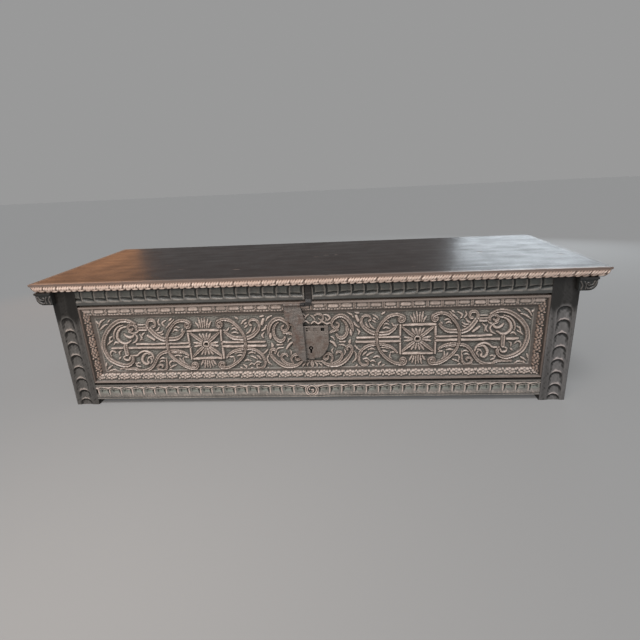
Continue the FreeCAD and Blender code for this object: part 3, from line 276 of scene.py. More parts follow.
class Relief:
    """A carved surface: heights over a grid of places, in metres."""

    GROOVE = 1.5
    CHUNK = 3000

    def __init__(self, across: np.ndarray, up: np.ndarray, wobble: Unevenness, mirrored: bool = False):
        """Start flat.

        Args:
            across: Grid lines of the first coordinate.
            up: Grid lines of the second coordinate.
            wobble: Unevenness of the carver's hand.
            mirrored: Whether both halves show the same ornament.
        """
        self.across, self.up = np.meshgrid(across, up, indexing="ij")
        self.height = np.zeros_like(self.across)
        self.u = (np.abs(self.across) if mirrored else self.across) + wobble.at(self.across, self.up)
        self.v = self.up + wobble.at(self.up + 1.0, self.across)

    def carve(self, stroke: Stroke) -> None:
        """Raise one stroke over what is there, with a small groove beside it.

        Args:
            stroke: The band or leaf.
        """
        line, half = stroke.line()
        reach = half.max() * self.GROOVE
        low, high = line.min(0) - reach, line.max(0) + reach
        near = np.nonzero((self.u > low[0]) & (self.u < high[0]) & (self.v > low[1]) & (self.v < high[1]))
        for first in range(0, len(near[0]), self.CHUNK):
            cells = (near[0][first:first + self.CHUNK], near[1][first:first + self.CHUNK])
            distance = np.hypot(self.u[cells][:, None] - line[:, 0], self.v[cells][:, None] - line[:, 1])
            nearest = (distance / half).argmin(1)
            share = distance[np.arange(len(nearest)), nearest] / half[nearest]
            shape = stroke.rise * MM * section_height(stroke.section, share)
            old = self.height[cells]
            beside = np.maximum(shape, old * smoothstep(1.0, self.GROOVE, share))
            self.height[cells] = np.where(share < 1.0, np.maximum(shape, 0.35 * old), beside)

    def boss(self, centre: tuple[float, float], radius: float, rise: float, ring: float) -> None:
        """Raise a round boss.

        Args:
            centre: Its place.
            radius: Its radius.
            rise: Its height.
            ring: Width of the groove round it.
        """
        share = np.hypot(self.u - centre[0], self.v - centre[1]) / radius
        self.height *= smoothstep(1.0, 1.0 + ring / radius, share)
        self.height = np.where(share < 1.0, np.maximum(self.height, rise * half_round(share)), self.height)

    def hole(self, centre: tuple[float, float], radius: float, depth: float) -> None:
        """Sink a round hole.

        Args:
            centre: Its place.
            radius: Its radius.
            depth: Its depth.
        """
        share = np.hypot(self.u - centre[0], self.v - centre[1]) / radius
        sunk = np.minimum(self.height, -depth * smoothstep(1.0, 0.7, share))
        self.height = np.where(share < 1.0, sunk, self.height)

    def exposure(self, scale: float) -> np.ndarray:
        """How far each place stands out from what is round it, near by and further off.

        Args:
            scale: Height that counts as fully exposed.

        Returns:
            Values about 0.5, higher on ridges and lower in hollows.
        """
        near, far = (self.height - blurred(self.height, reach) for reach in (2, 6))
        return np.clip(0.5 + (1.4 * near + 0.6 * far) / scale, 0, 1)


def section_height(section: Section, share: np.ndarray) -> np.ndarray:
    """The height across a stroke.

    Args:
        section: The kind of stroke.
        share: Distance from the middle line over half the width.

    Returns:
        Heights from 0 to 1.
    """
    edge = smoothstep(1.0, 0.80, share)
    if section is Section.HOLLOW:
        return edge * (0.55 + 0.45 * smoothstep(0.25, 0.66, share))
    if section is Section.LEAF:
        return edge * (0.62 + 0.38 * np.abs(np.clip(share, 0, 1) - 0.5) * 2)
    if section is Section.FLAT:
        return smoothstep(1.0, 0.6, share)
    return half_round(share)


@dataclass
class Shell:
    """Closed surfaces that become one mesh, with what the finishes read from it."""

    name: str
    vertices: list[np.ndarray] = field(default_factory=list)
    faces: list[tuple[int, ...]] = field(default_factory=list)
    quads: list[np.ndarray] = field(default_factory=list)
    relief: list[np.ndarray] = field(default_factory=list)
    exposed: list[np.ndarray] = field(default_factory=list)
    count: int = 0

    def sweep(self, rings: np.ndarray, relief: np.ndarray | None = None,
              exposed: np.ndarray | None = None) -> None:
        """Add a closed tube through rings of places, with a flat cap at each end.

        Args:
            rings: Places by ring and by place round the ring.
            relief: Height of the carving at each place, from 0 to 1.
            exposed: How far each place stands out, about 0.5.
        """
        along, around = rings.shape[:2]
        index = self.count + np.arange(along * around).reshape(along, around)
        after = np.roll(index, -1, axis=1)
        quads = np.stack([index[:-1], index[1:], after[1:], after[:-1]], axis=-1).reshape(-1, 4)
        caps = [index[0], index[-1][::-1]]
        if signed_volume(rings) < 0:
            quads = quads[:, ::-1]
            caps = [cap[::-1] for cap in caps]
        self.vertices.append(rings.reshape(-1, 3))
        self.quads.append(quads)
        self.faces.extend(tuple(int(i) for i in cap) for cap in caps)
        flat = np.full(along * around, 0.5)
        self.relief.append(flat if relief is None else relief.reshape(-1))
        self.exposed.append(flat if exposed is None else exposed.reshape(-1))
        self.count += along * around

    def block(self, low: Sequence[float], high: Sequence[float]) -> None:
        """Add a plain box.

        Args:
            low: Its lowest corner.
            high: Its highest corner.
        """
        ring = np.array([(low[1], low[2]), (low[1], high[2]), (high[1], high[2]), (high[1], low[2])])
        rings = np.array([[(x, y, z) for y, z in ring] for x in (low[0], high[0])])
        self.sweep(rings)

    def build(self, body: str, node: str, slot: str, material: bpy.types.Material) -> None:
        """Make the mesh, in the place of its node.

        Args:
            body: The body that it rides on.
            node: The node that it stands for.
            slot: The record's material slot; not used.
            material: Its finish.
        """
        mesh = bpy.data.meshes.new(self.name)
        vertices = np.concatenate(self.vertices)
        quads = np.concatenate(self.quads)
        corners = np.concatenate([quads.reshape(-1), *[np.array(face) for face in self.faces]])
        sizes = np.concatenate([np.full(len(quads), 4), [len(face) for face in self.faces]]).astype(int)
        mesh.vertices.add(len(vertices))
        mesh.vertices.foreach_set("co", vertices.astype(np.float32).reshape(-1))
        mesh.loops.add(len(corners))
        mesh.loops.foreach_set("vertex_index", corners.astype(np.int32))
        mesh.polygons.add(len(sizes))
        mesh.polygons.foreach_set("loop_start", np.concatenate([[0], np.cumsum(sizes)[:-1]]).astype(np.int32))
        mesh.update(calc_edges=True)
        mesh.validate()
        for name, values in (("relief", self.relief), ("exposed", self.exposed)):
            attribute = mesh.attributes.new(name, "FLOAT", "POINT")
            attribute.data.foreach_set("value", np.concatenate(values).astype(np.float32))
        mesh.shade_smooth()
        mesh.set_sharp_from_angle(angle=SHARP_CARVING)
        placed(mesh, self.name, body, node, material)


def signed_volume(rings: np.ndarray) -> float:
    """The volume within a tube of rings, negative if it is inside out.

    Args:
        rings: Places by ring and by place round the ring.

    Returns:
        About the volume, from the rings' areas and spacing.
    """
    centre = rings.mean(axis=1)
    after = np.roll(rings, -1, axis=1)
    area = 0.5 * np.cross(rings - centre[:, None], after - centre[:, None]).sum(axis=1)
    step = centre[1:] - centre[:-1]
    return -float((0.5 * (area[1:] + area[:-1]) * step).sum())


def linked(name: str, data: bpy.types.ID) -> bpy.types.Object:
    """A new object with this data, in the scene."""
    made = bpy.data.objects.new(name, data)
    bpy.context.scene.collection.objects.link(made)
    return made


def placed(mesh: bpy.types.Mesh, name: str, body: str, node: str,
           material: bpy.types.Material) -> None:
    """Put a mesh in the scene in the place of its node.

    Args:
        mesh: The mesh, in the shared frame.
        name: The piece's name.
        body: The body that it rides on.
        node: The node that it stands for.
        material: Its finish.
    """
    piece = linked(name, mesh)
    mesh.materials.clear()
    mesh.materials.append(material)
    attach(piece, body)
    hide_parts(node)
    LOG.info("%s: %d faces", name, len(mesh.polygons))


class Graph:
    """A short way to write shader nodes."""

    def __init__(self, tree: bpy.types.NodeTree):
        """Keep the tree that nodes go into."""
        self.tree = tree

    def node(self, kind: str, inputs: dict | None = None, **settings: object) -> bpy.types.Node:
        """Add a node.

        Args:
            kind: Its type, without the ShaderNode before it.
            inputs: Values or sockets for its inputs, by name or number.
            settings: Its other properties.

        Returns:
            The node.
        """
        made = self.tree.nodes.new(kind if kind.startswith("NodeGroup") else f"ShaderNode{kind}")
        for key, value in settings.items():
            setattr(made, key, value)
        self.feed(made, inputs or {})
        return made

    def feed(self, node: bpy.types.Node, inputs: dict) -> None:
        """Give a node's inputs their values, or join them to sockets.

        Args:
            node: The node.
            inputs: Values or sockets by the input's name or number.
        """
        for key, value in inputs.items():
            if isinstance(value, Socket):
                self.tree.links.new(value, node.inputs[key])
            else:
                node.inputs[key].default_value = value

    def math(self, operation: str, first: Socket | float, second: Socket | float,
             clamp: bool = False) -> Socket:
        """The result of an operation on two values."""
        return self.node("Math", {0: first, 1: second}, operation=operation, use_clamp=clamp).outputs[0]

    def mix(self, share: Socket, first: Socket | Colour, second: Socket | Colour) -> Socket:
        """A blend of two colours."""
        ends = [value if isinstance(value, Socket) else (*value, 1) for value in (first, second)]
        return self.node("Mix", {0: share, 6: ends[0], 7: ends[1]}, data_type="RGBA").outputs[2]

    def ramp(self, value: Socket, low: float, high: float) -> Socket:
        """A value that rises smoothly from 0 at low to 1 at high."""
        return self.node("MapRange", {0: value, 1: low, 2: high}, interpolation_type="SMOOTHSTEP").outputs[0]

    def noise(self, vector: Socket, scale: float, detail: float, roughness: float,
              distortion: float = 0.0) -> Socket:
        """Soft noise from 0 to 1."""
        inputs = {"Vector": vector, "Scale": scale, "Detail": detail, "Roughness": roughness,
                  "Distortion": distortion}
        return self.node("TexNoise", inputs).outputs[0]

    def stretched(self, vector: Socket, scale: Sequence[float] | Socket) -> Socket:
        """A vector with each coordinate scaled."""
        return self.node("VectorMath", {0: vector, 1: scale}, operation="MULTIPLY").outputs[0]

    def scaled(self, vector: Socket, scale: Socket) -> Socket:
        """A vector scaled as a whole."""
        return self.node("VectorMath", {0: vector, 3: scale}, operation="SCALE").outputs[0]


def new_group(name: str, inputs: dict[str, object],
              outputs: Sequence[str]) -> tuple[Graph, dict[str, Socket]]:
    """Start a shader node group with named sockets.

    Args:
        name: The group's name.
        inputs: Input names with a default: a number, or a tuple for a vector.
        outputs: Names of its outputs, all of them numbers.

    Returns:
        A graph to write it with, and its input sockets by name.
    """
    tree = bpy.data.node_groups.new(name, "ShaderNodeTree")
    for label, default in inputs.items():
        kind = "NodeSocketVector" if isinstance(default, tuple) else "NodeSocketFloat"
        socket = tree.interface.new_socket(label, in_out="INPUT", socket_type=kind)
        socket.default_value = default
    for label in outputs:
        tree.interface.new_socket(label, in_out="OUTPUT", socket_type="NodeSocketFloat")
    graph = Graph(tree)
    entry = graph.node("NodeGroupInput")
    return graph, {label: entry.outputs[label] for label in inputs}


def end_group(graph: Graph, results: dict[str, Socket]) -> bpy.types.NodeTree:
    """Join a group's results to its outputs and hand over its tree."""
    graph.node("NodeGroupOutput", results)
    return graph.tree


class Effects:
    """The shader node groups that several finishes share, each built once."""

    def __init__(self) -> None:
        """Build every group."""
        self.grain = self._grain()
        self.patina = self._patina()
        self.scratches = self._scratches()
        self.forging = self._forging()

    @staticmethod
    def _grain() -> bpy.types.NodeTree:
        """Wood fibres, rings and pores along one direction."""
        inputs = {"Vector": NO_VECTOR, "Stretch": Grain.ALONG_X.value, "Scale": 9.0}
        graph, given = new_group("wood_grain", inputs, ("Rings", "Fibres", "Pores"))
        bent = graph.scaled(graph.stretched(given["Vector"], given["Stretch"]), given["Scale"])
        rings = graph.noise(bent, 0.55, 3.0, 0.5, 1.2)
        fibres = graph.noise(bent, 4.0, 6.0, 0.7)
        pores = graph.noise(bent, 11.0, 2.0, 0.5)
        return end_group(graph, {"Rings": graph.ramp(rings, 0.3, 0.7), "Fibres": fibres,
                                 "Pores": graph.ramp(pores, 0.62, 0.78)})

    @staticmethod
    def _patina() -> bpy.types.NodeTree:
        """Where handling has rubbed the wood, where dust has settled, and where grime and painted shade
        darken the hollows.
        """
        graph, given = new_group(
            "patina", {"Vector": NO_VECTOR, "Relief": 0.5, "Exposed": 0.5, "Wear": 1.0, "Dust": 1.0},
            ("Rubbed", "Dusty", "GrimeAndShade", "Mottle"))
        cloud = graph.noise(given["Vector"], 14.0, 5.0, 0.6)
        speck = graph.noise(given["Vector"], 160.0, 3.0, 0.65)
        mottle = graph.math("ADD", graph.math("MULTIPLY", cloud, 0.65), graph.math("MULTIPLY", speck, 0.35))
        uneven = graph.math("SUBTRACT", mottle, 0.5)
        ridge = graph.math("ADD", given["Exposed"], graph.math("MULTIPLY", uneven, 0.55))
        hollow = graph.math("ADD", given["Relief"], graph.math("MULTIPLY", uneven, 0.9))
        shares = {"Mottle": mottle}
        # Low exposure darkens the hollows: partly real grime, partly painted shade.
        for label, value, low, high, amount in (
                ("Rubbed", ridge, 0.58, 1.0, "Wear"), ("GrimeAndShade", given["Exposed"], 0.40, 0.12, "Wear"),
                ("Dusty", hollow, 0.42, 0.05, "Dust")):
            shares[label] = graph.math("MULTIPLY", graph.ramp(value, low, high), given[amount], clamp=True)
        return end_group(graph, shares)

    @staticmethod
    def _scratches() -> bpy.types.NodeTree:
        """Fine straight scratches in three directions and small dents."""
        graph, given = new_group("scratches", {"Vector": NO_VECTOR, "Amount": 1.0}, ("Lines", "Dents"))
        total: Socket | None = None
        for turn, stretch, scale in ((0.12, (2.0, 60.0, 1.0), 7.0), (1.1, (2.5, 70.0, 1.0), 5.0),
                                     (-0.5, (3.0, 55.0, 1.0), 4.0)):
            turned = graph.node("VectorRotate", {"Vector": given["Vector"], "Angle": turn},
                                rotation_type="Z_AXIS").outputs[0]
            lines = graph.ramp(graph.noise(graph.stretched(turned, stretch), scale, 2.0, 0.4), 0.70, 0.76)
            total = lines if total is None else graph.math("MAXIMUM", total, lines)
        spots = graph.node("TexVoronoi", {"Vector": given["Vector"], "Scale": 34.0}).outputs["Distance"]
        marks = {"Lines": total, "Dents": graph.ramp(spots, 0.10, 0.03)}
        return end_group(graph, {label: graph.math("MULTIPLY", socket, given["Amount"])
                                 for label, socket in marks.items()})

    @staticmethod
    def _forging() -> bpy.types.NodeTree:
        """Hammer facets, pits and rust clouds of old iron."""
        graph, given = new_group("forging", {"Vector": NO_VECTOR}, ("Hammering", "Pits", "Rust"))
        place = given["Vector"]
        facets = graph.node("TexVoronoi", {"Vector": place, "Scale": 110.0, "Smoothness": 0.8},
                            feature="SMOOTH_F1").outputs["Distance"]
        pits = graph.ramp(graph.noise(place, 420.0, 3.0, 0.6), 0.56, 0.72)
        rust = graph.ramp(graph.noise(place, 38.0, 6.0, 0.68), 0.42, 0.66)
        return end_group(graph, {"Hammering": facets, "Pits": pits, "Rust": rust})


def start_material(name: str) -> tuple[bpy.types.Material, Graph, Socket]:
    """Start a material.

    Args:
        name: Its name.

    Returns:
        The material, a graph to write it with, and the object's own coordinates.
    """
    material = bpy.data.materials.new(name)
    material.use_nodes = True
    graph = Graph(material.node_tree)
    return material, graph, graph.node("TexCoord").outputs["Object"]


@dataclass(frozen=True)
class WoodFinish:
    """A wood's colours and how worn it is; its grime colour also paints shade in the hollows. Colours are
    linear.
    """

    name: str
    deep: Colour
    light: Colour
    rubbed: Colour
    dust: Colour
    # Colour of the hollows: partly real grime, partly painted shade.
    grime_and_shade: Colour
    wear: float
    dustiness: float
    roughness: float = 0.42
    bump: float = 0.35
    scratched: float = 0.0
    shine: float = 0.42

    def material(self, effects: Effects, grain: Grain) -> bpy.types.Material:
        """The finish with its grain along one direction, made once.

        Args:
            effects: The shared node groups.
            grain: The grain's direction.

        Returns:
            The material.
        """
        name = f"{self.name}_{grain.name.lower()}"
        known = bpy.data.materials.get(name)
        if known:
            return known
        material, graph, place = start_material(name)
        relief, exposed = (graph.node("Attribute", attribute_name=label).outputs["Fac"]
                           for label in ("relief", "exposed"))
        along = {"Vector": place, "Stretch": grain.value}
        worn = {"Vector": place, "Relief": relief, "Exposed": exposed, "Wear": self.wear,
                "Dust": self.dustiness}
        fibre = graph.node("Group", along, node_tree=effects.grain).outputs
        patina = graph.node("Group", worn, node_tree=effects.patina).outputs
        rings = graph.math("ADD", graph.math("MULTIPLY", fibre["Rings"], 0.6),
                           graph.math("MULTIPLY", patina["Mottle"], 0.5), clamp=True)
        colour = graph.mix(rings, self.deep, self.light)
        pores = graph.math("MULTIPLY", fibre["Pores"], 0.55)
        pore_colour = tuple(part * 0.3 for part in self.deep)
        for share, over in ((pores, pore_colour), (patina["Dusty"], self.dust),
                            (patina["Rubbed"], self.rubbed), (patina["GrimeAndShade"], self.grime_and_shade)):
            colour = graph.mix(share, colour, over)
        height = graph.math("ADD", graph.math("MULTIPLY", fibre["Fibres"], 0.6),
                            graph.math("MULTIPLY", patina["Mottle"], 0.4))
        height = graph.math("SUBTRACT", height, graph.math("MULTIPLY", fibre["Pores"], 0.5))
        rough = graph.math("ADD", self.roughness, graph.math("MULTIPLY", patina["Dusty"], 0.25))
        if self.scratched:
            marks = graph.node("Group", {"Vector": place, "Amount": self.scratched},
                               node_tree=effects.scratches).outputs
            colour = graph.mix(graph.math("MULTIPLY", marks["Lines"], 0.5), colour, self.rubbed)
            height = graph.math("SUBTRACT", height, graph.math("MULTIPLY", marks["Lines"], 0.8))
            height = graph.math("SUBTRACT", height, marks["Dents"])
            rough = graph.math("ADD", rough, graph.math("MULTIPLY", marks["Lines"], 0.2))
        uneven = graph.math("MULTIPLY", graph.math("SUBTRACT", patina["Mottle"], 0.5), 0.35)
        rough = graph.math("ADD", rough, uneven, clamp=True)
        bump = graph.node("Bump", {"Height": height, "Strength": self.bump, "Distance": WOOD_PORE})
        graph.feed(material.node_tree.nodes["Principled BSDF"], {
            "Base Color": colour, "Roughness": rough, "Normal": bump.outputs[0],
            "Specular IOR Level": self.shine})
        return material


@dataclass(frozen=True)
class IronFinish:
    """Forged iron: its metal, its rust and how rough it is. Colours are linear."""

    name: str
    metal: Colour
    rust: Colour
    roughness: float
    metallic: float
    bump: float

    def material(self, effects: Effects) -> bpy.types.Material:
        """The finish, made once.

        Args:
            effects: The shared node groups.

        Returns:
            The material.
        """
        known = bpy.data.materials.get(self.name)
        if known:
            return known
        material, graph, place = start_material(self.name)
        forged = graph.node("Group", {"Vector": place}, node_tree=effects.forging).outputs
        rust, pits = forged["Rust"], forged["Pits"]
        colour, dark_rust = graph.mix(rust, self.metal, self.rust), tuple(part * 0.35 for part in self.rust)
        colour = graph.mix(graph.math("MULTIPLY", pits, 0.6), colour, dark_rust)
        height = graph.math("SUBTRACT", graph.math("MULTIPLY", forged["Hammering"], 0.8), pits)
        bump = graph.node("Bump", {"Height": height, "Strength": self.bump, "Distance": IRON_PIT})
        metallic = graph.math("SUBTRACT", self.metallic, graph.math("MULTIPLY", rust, self.metallic * 0.7))
        rough = graph.math("ADD", self.roughness, graph.math("MULTIPLY", rust, 0.25))
        graph.feed(material.node_tree.nodes["Principled BSDF"], {
            "Base Color": colour, "Roughness": rough, "Metallic": metallic, "Normal": bump.outputs[0]})
        return material


CARVED = WoodFinish("carved_wood", deep=(0.165, 0.130, 0.110), light=(0.300, 0.250, 0.222),
                    rubbed=(0.51, 0.418, 0.365), dust=(0.152, 0.160, 0.145), grime_and_shade=(0.040, 0.034, 0.030),
                    wear=0.75, dustiness=0.75, roughness=0.40)
GREYED = WoodFinish("greyed_wood", deep=(0.088, 0.084, 0.076), light=(0.182, 0.166, 0.150),
                    rubbed=(0.56, 0.455, 0.400), dust=(0.185, 0.195, 0.172), grime_and_shade=(0.010, 0.009, 0.008),
                    wear=0.85, dustiness=0.85)
DULL = WoodFinish("dull_wood", deep=(0.062, 0.047, 0.040), light=(0.165, 0.127, 0.108),
                  rubbed=(0.36, 0.26, 0.21), dust=(0.100, 0.098, 0.086), grime_and_shade=(0.014, 0.011, 0.009),
                  wear=0.75, dustiness=0.6)
WEATHERED = WoodFinish("weathered_wood", deep=(0.053, 0.049, 0.045), light=(0.106, 0.100, 0.094),
                       rubbed=(0.34, 0.29, 0.26), dust=(0.066, 0.071, 0.064), grime_and_shade=(0.007, 0.006, 0.005),
                       wear=0.95, dustiness=0.6, roughness=0.40)
# Lighter, cooler copy of the weathered wood for the right post: painted light.
RIGHT_POST_LIT_WOOD = WoodFinish("right_post_painted_light_wood", deep=(0.080, 0.075, 0.073), light=(0.142, 0.134, 0.131),
                   rubbed=(0.40, 0.345, 0.33), dust=(0.090, 0.094, 0.092), grime_and_shade=(0.012, 0.011, 0.010),
                   wear=0.95, dustiness=0.6, roughness=0.40)
# Darker copy of the carved wood for the top rail: painted shadow of the lid's overhang.
TOP_RAIL_SHADOW_WOOD = WoodFinish("top_rail_painted_shadow_wood", deep=(0.050, 0.051, 0.048), light=(0.082, 0.081, 0.077),
                    rubbed=(0.17, 0.155, 0.14), dust=(0.100, 0.110, 0.102), grime_and_shade=(0.004, 0.004, 0.004),
                    wear=0.85, dustiness=0.6)
# Near-black wood for the cleats: painted shade under the lid's ends.
CLEAT_SHADE_WOOD = WoodFinish("cleat_painted_shade_wood", deep=(0.013, 0.013, 0.013), light=(0.029, 0.028, 0.027),
                     rubbed=(0.112, 0.100, 0.092), dust=(0.026, 0.029, 0.028), grime_and_shade=(0.004, 0.004, 0.004),
                     wear=0.7, dustiness=0.5)
# Very pale wood for the lid's front edge: partly pale wear, partly painted light from the front.
LID_EDGE_LIT_WOOD = WoodFinish("lid_edge_worn_and_painted_light_wood", deep=(0.55, 0.40, 0.33), light=(0.86, 0.67, 0.57),
                 rubbed=(0.98, 0.82, 0.72), dust=(0.45, 0.37, 0.32), grime_and_shade=(0.090, 0.060, 0.048),
                 wear=0.9, dustiness=0.3, roughness=0.38)
POLISHED = WoodFinish("lid_wood", deep=(0.009, 0.006, 0.005), light=(0.027, 0.018, 0.016),
                      rubbed=(0.30, 0.230, 0.200), dust=(0.05, 0.04, 0.035), grime_and_shade=(0.01, 0.008, 0.007),
                      wear=0.6, dustiness=0.0, roughness=0.34, bump=0.14, scratched=0.3, shine=0.08)
PLAIN = WoodFinish("plain_wood", deep=(0.045, 0.031, 0.024), light=(0.15, 0.105, 0.08),
                   rubbed=(0.24, 0.17, 0.13), dust=(0.11, 0.10, 0.085), grime_and_shade=(0.02, 0.015, 0.012),
                   wear=0.4, dustiness=0.35, roughness=0.66, bump=0.5)
IRON = IronFinish("old_iron", metal=(0.22, 0.190, 0.170), rust=(0.120, 0.088, 0.072), roughness=0.46,
                  metallic=0.45, bump=0.8)
# Near-black iron for the strap, the nails under the lid and the lock case behind the plate: painted shade.
SHADE_IRON = IronFinish("painted_shade_iron", metal=(0.028, 0.027, 0.027), rust=(0.024, 0.020, 0.018), roughness=0.55,
                       metallic=0.4, bump=0.5)
HASP_IRON = IronFinish("hasp_iron", metal=(0.160, 0.142, 0.130), rust=(0.105, 0.070, 0.056), roughness=0.50,
                       metallic=0.4, bump=0.9)
BRIGHT = IronFinish("worn_pin", metal=(0.42, 0.39, 0.36), rust=(0.20, 0.15, 0.12), roughness=0.35,
                    metallic=0.9, bump=0.2)


@dataclass
class Bounds:
    """A node's box, with short names."""

    low: Vector
    high: Vector

    @classmethod
    def of(cls, node: str) -> "Bounds":
        """The box of one node."""
        return cls(*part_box(node))


# The ornament of the panel's right half, in millimetres across from the middle and up from the floor.
BARS = (
    cut(Section.FLAT, 4.2, (7.0,), (139, 212), (266, 212)),
    cut(Section.FLAT, 5.0, (8.0,), (137, 199), (268, 199)),
    cut(Section.FLAT, 4.0, (6.5,), (372, 212), (532, 211)),
    cut(Section.FLAT, 5.2, (8.0,), (372, 200), (610, 200)),
    cut(Section.HOLLOW, 5.0, (13.0,), (567, 207), (567, 179)),
    cut(Section.HOLLOW, 5.6, (13.0,), (486, 261), (524, 261)),
    cut(Section.ROUND, 3.0, (3.5,), (495, 273), (519, 273)),
    cut(Section.FLAT, 4.6, (7.5,), (496, 239), (478, 226)),
)
BANDS_UNDER_RING = (
    cut(Section.HOLLOW, 5.0, (13, 14, 14, 13, 7), (486, 259), (474, 243), (461, 231), (446, 225), (432, 227),
        (415, 228), (401, 232), (390, 240), (383, 249)),
    cut(Section.HOLLOW, 5.2, (7, 13, 13, 12, 9, 7, 5), (256, 244), (245, 234), (231, 226), (212, 224),
        (196, 224), (182, 228), (169, 236), (157, 248), (152, 262), (156, 275), (166, 282), (177, 279),
        (181, 270), (174, 264)),
    cut(Section.HOLLOW, 5.0, (6, 10, 10, 10, 10, 10, 8, 5), (381, 170), (390, 178), (403, 184), (420, 187),
        (444, 185), (458, 182), (471, 173), (481, 159), (489, 145), (498, 133), (511, 124), (526, 120),
        (541, 121), (550, 128), (566, 130), (597, 130)),
    cut(Section.HOLLOW, 5.0, (6, 9, 9, 9, 9, 8, 5), (259, 162), (250, 173), (237, 182), (219, 188),
        (200, 190), (178, 188), (162, 180), (150, 166), (145, 150), (145, 135), (151, 125), (161, 121),
        (171, 125), (171, 133), (164, 136)),
)
RING = ((366, 279), (380, 284), (394, 283), (406, 278), (416, 269), (427, 256), (436, 241), (441, 223),
        (441, 205), (440, 189), (434, 171), (424, 157), (412, 145), (398, 134), (382, 126),
        (365, 124))
END_BANDS = (
    cut(Section.HOLLOW, 6.2, (9, 13, 14, 13, 13, 12, 8), (528, 277), (545, 286), (566, 287), (585, 280),
        (604, 266), (620, 249), (630, 233), (635, 216), (636, 198), (632, 179), (624, 163), (609, 151),
        (593, 144), (578, 141), (564, 145), (555, 153), (552, 163), (556, 173)),
    cut(Section.HOLLOW, 5.6, (8, 8, 6), (524, 262), (526, 270), (535, 275), (545, 272), (549, 263),
        (543, 256), (536, 260)),
    cut(Section.LEAF, 4.4, (4, 8, 4), (520, 255), (528, 248), (540, 247), (550, 252)),
    cut(Section.HOLLOW, 5.2, (9, 9, 6), (491, 266), (490, 277), (483, 286), (473, 286), (467, 278),
        (469, 268), (477, 267)),
    cut(Section.LEAF, 5.2, (4, 8, 9, 8, 5), (553, 268), (569, 264), (581, 253), (587, 239), (585, 225),
        (574, 216), (559, 216), (547, 223)),
    cut(Section.ROUND, 4.4, (3, 6, 6, 3), (563, 273), (580, 267), (593, 253), (598, 238), (597, 226)),
    cut(Section.LEAF, 4.6, (4, 8, 8, 4), (565, 246), (558, 237), (547, 234), (538, 238), (535, 247)),
    cut(Section.ROUND, 4.0, (3, 6, 6, 3), (532, 244), (527, 232), (532, 221), (543, 215)),
    cut(Section.ROUND, 5.0, (6, 6, 7, 7, 5), (549, 174), (537, 175), (527, 183), (513, 188), (500, 184),
        (491, 174), (489, 162)),
    cut(Section.LEAF, 4.8, (5, 8, 9, 8, 5), (497, 177), (509, 180), (519, 173), (525, 161), (523, 149),
        (515, 143), (508, 147), (510, 154)),
    cut(Section.LEAF, 4.0, (4, 6, 3), (494, 168), (503, 166), (510, 158)),
    cut(Section.ROUND, 4.8, (7, 7, 5), (560, 168), (566, 159), (576, 160), (580, 168), (574, 173)),
    cut(Section.HOLLOW, 5.0, (4, 7, 8, 7, 5), (450, 163), (451, 147), (453, 131), (460, 121), (471, 118),
        (480, 125), (480, 136), (472, 141), (465, 136), (468, 131)),
)
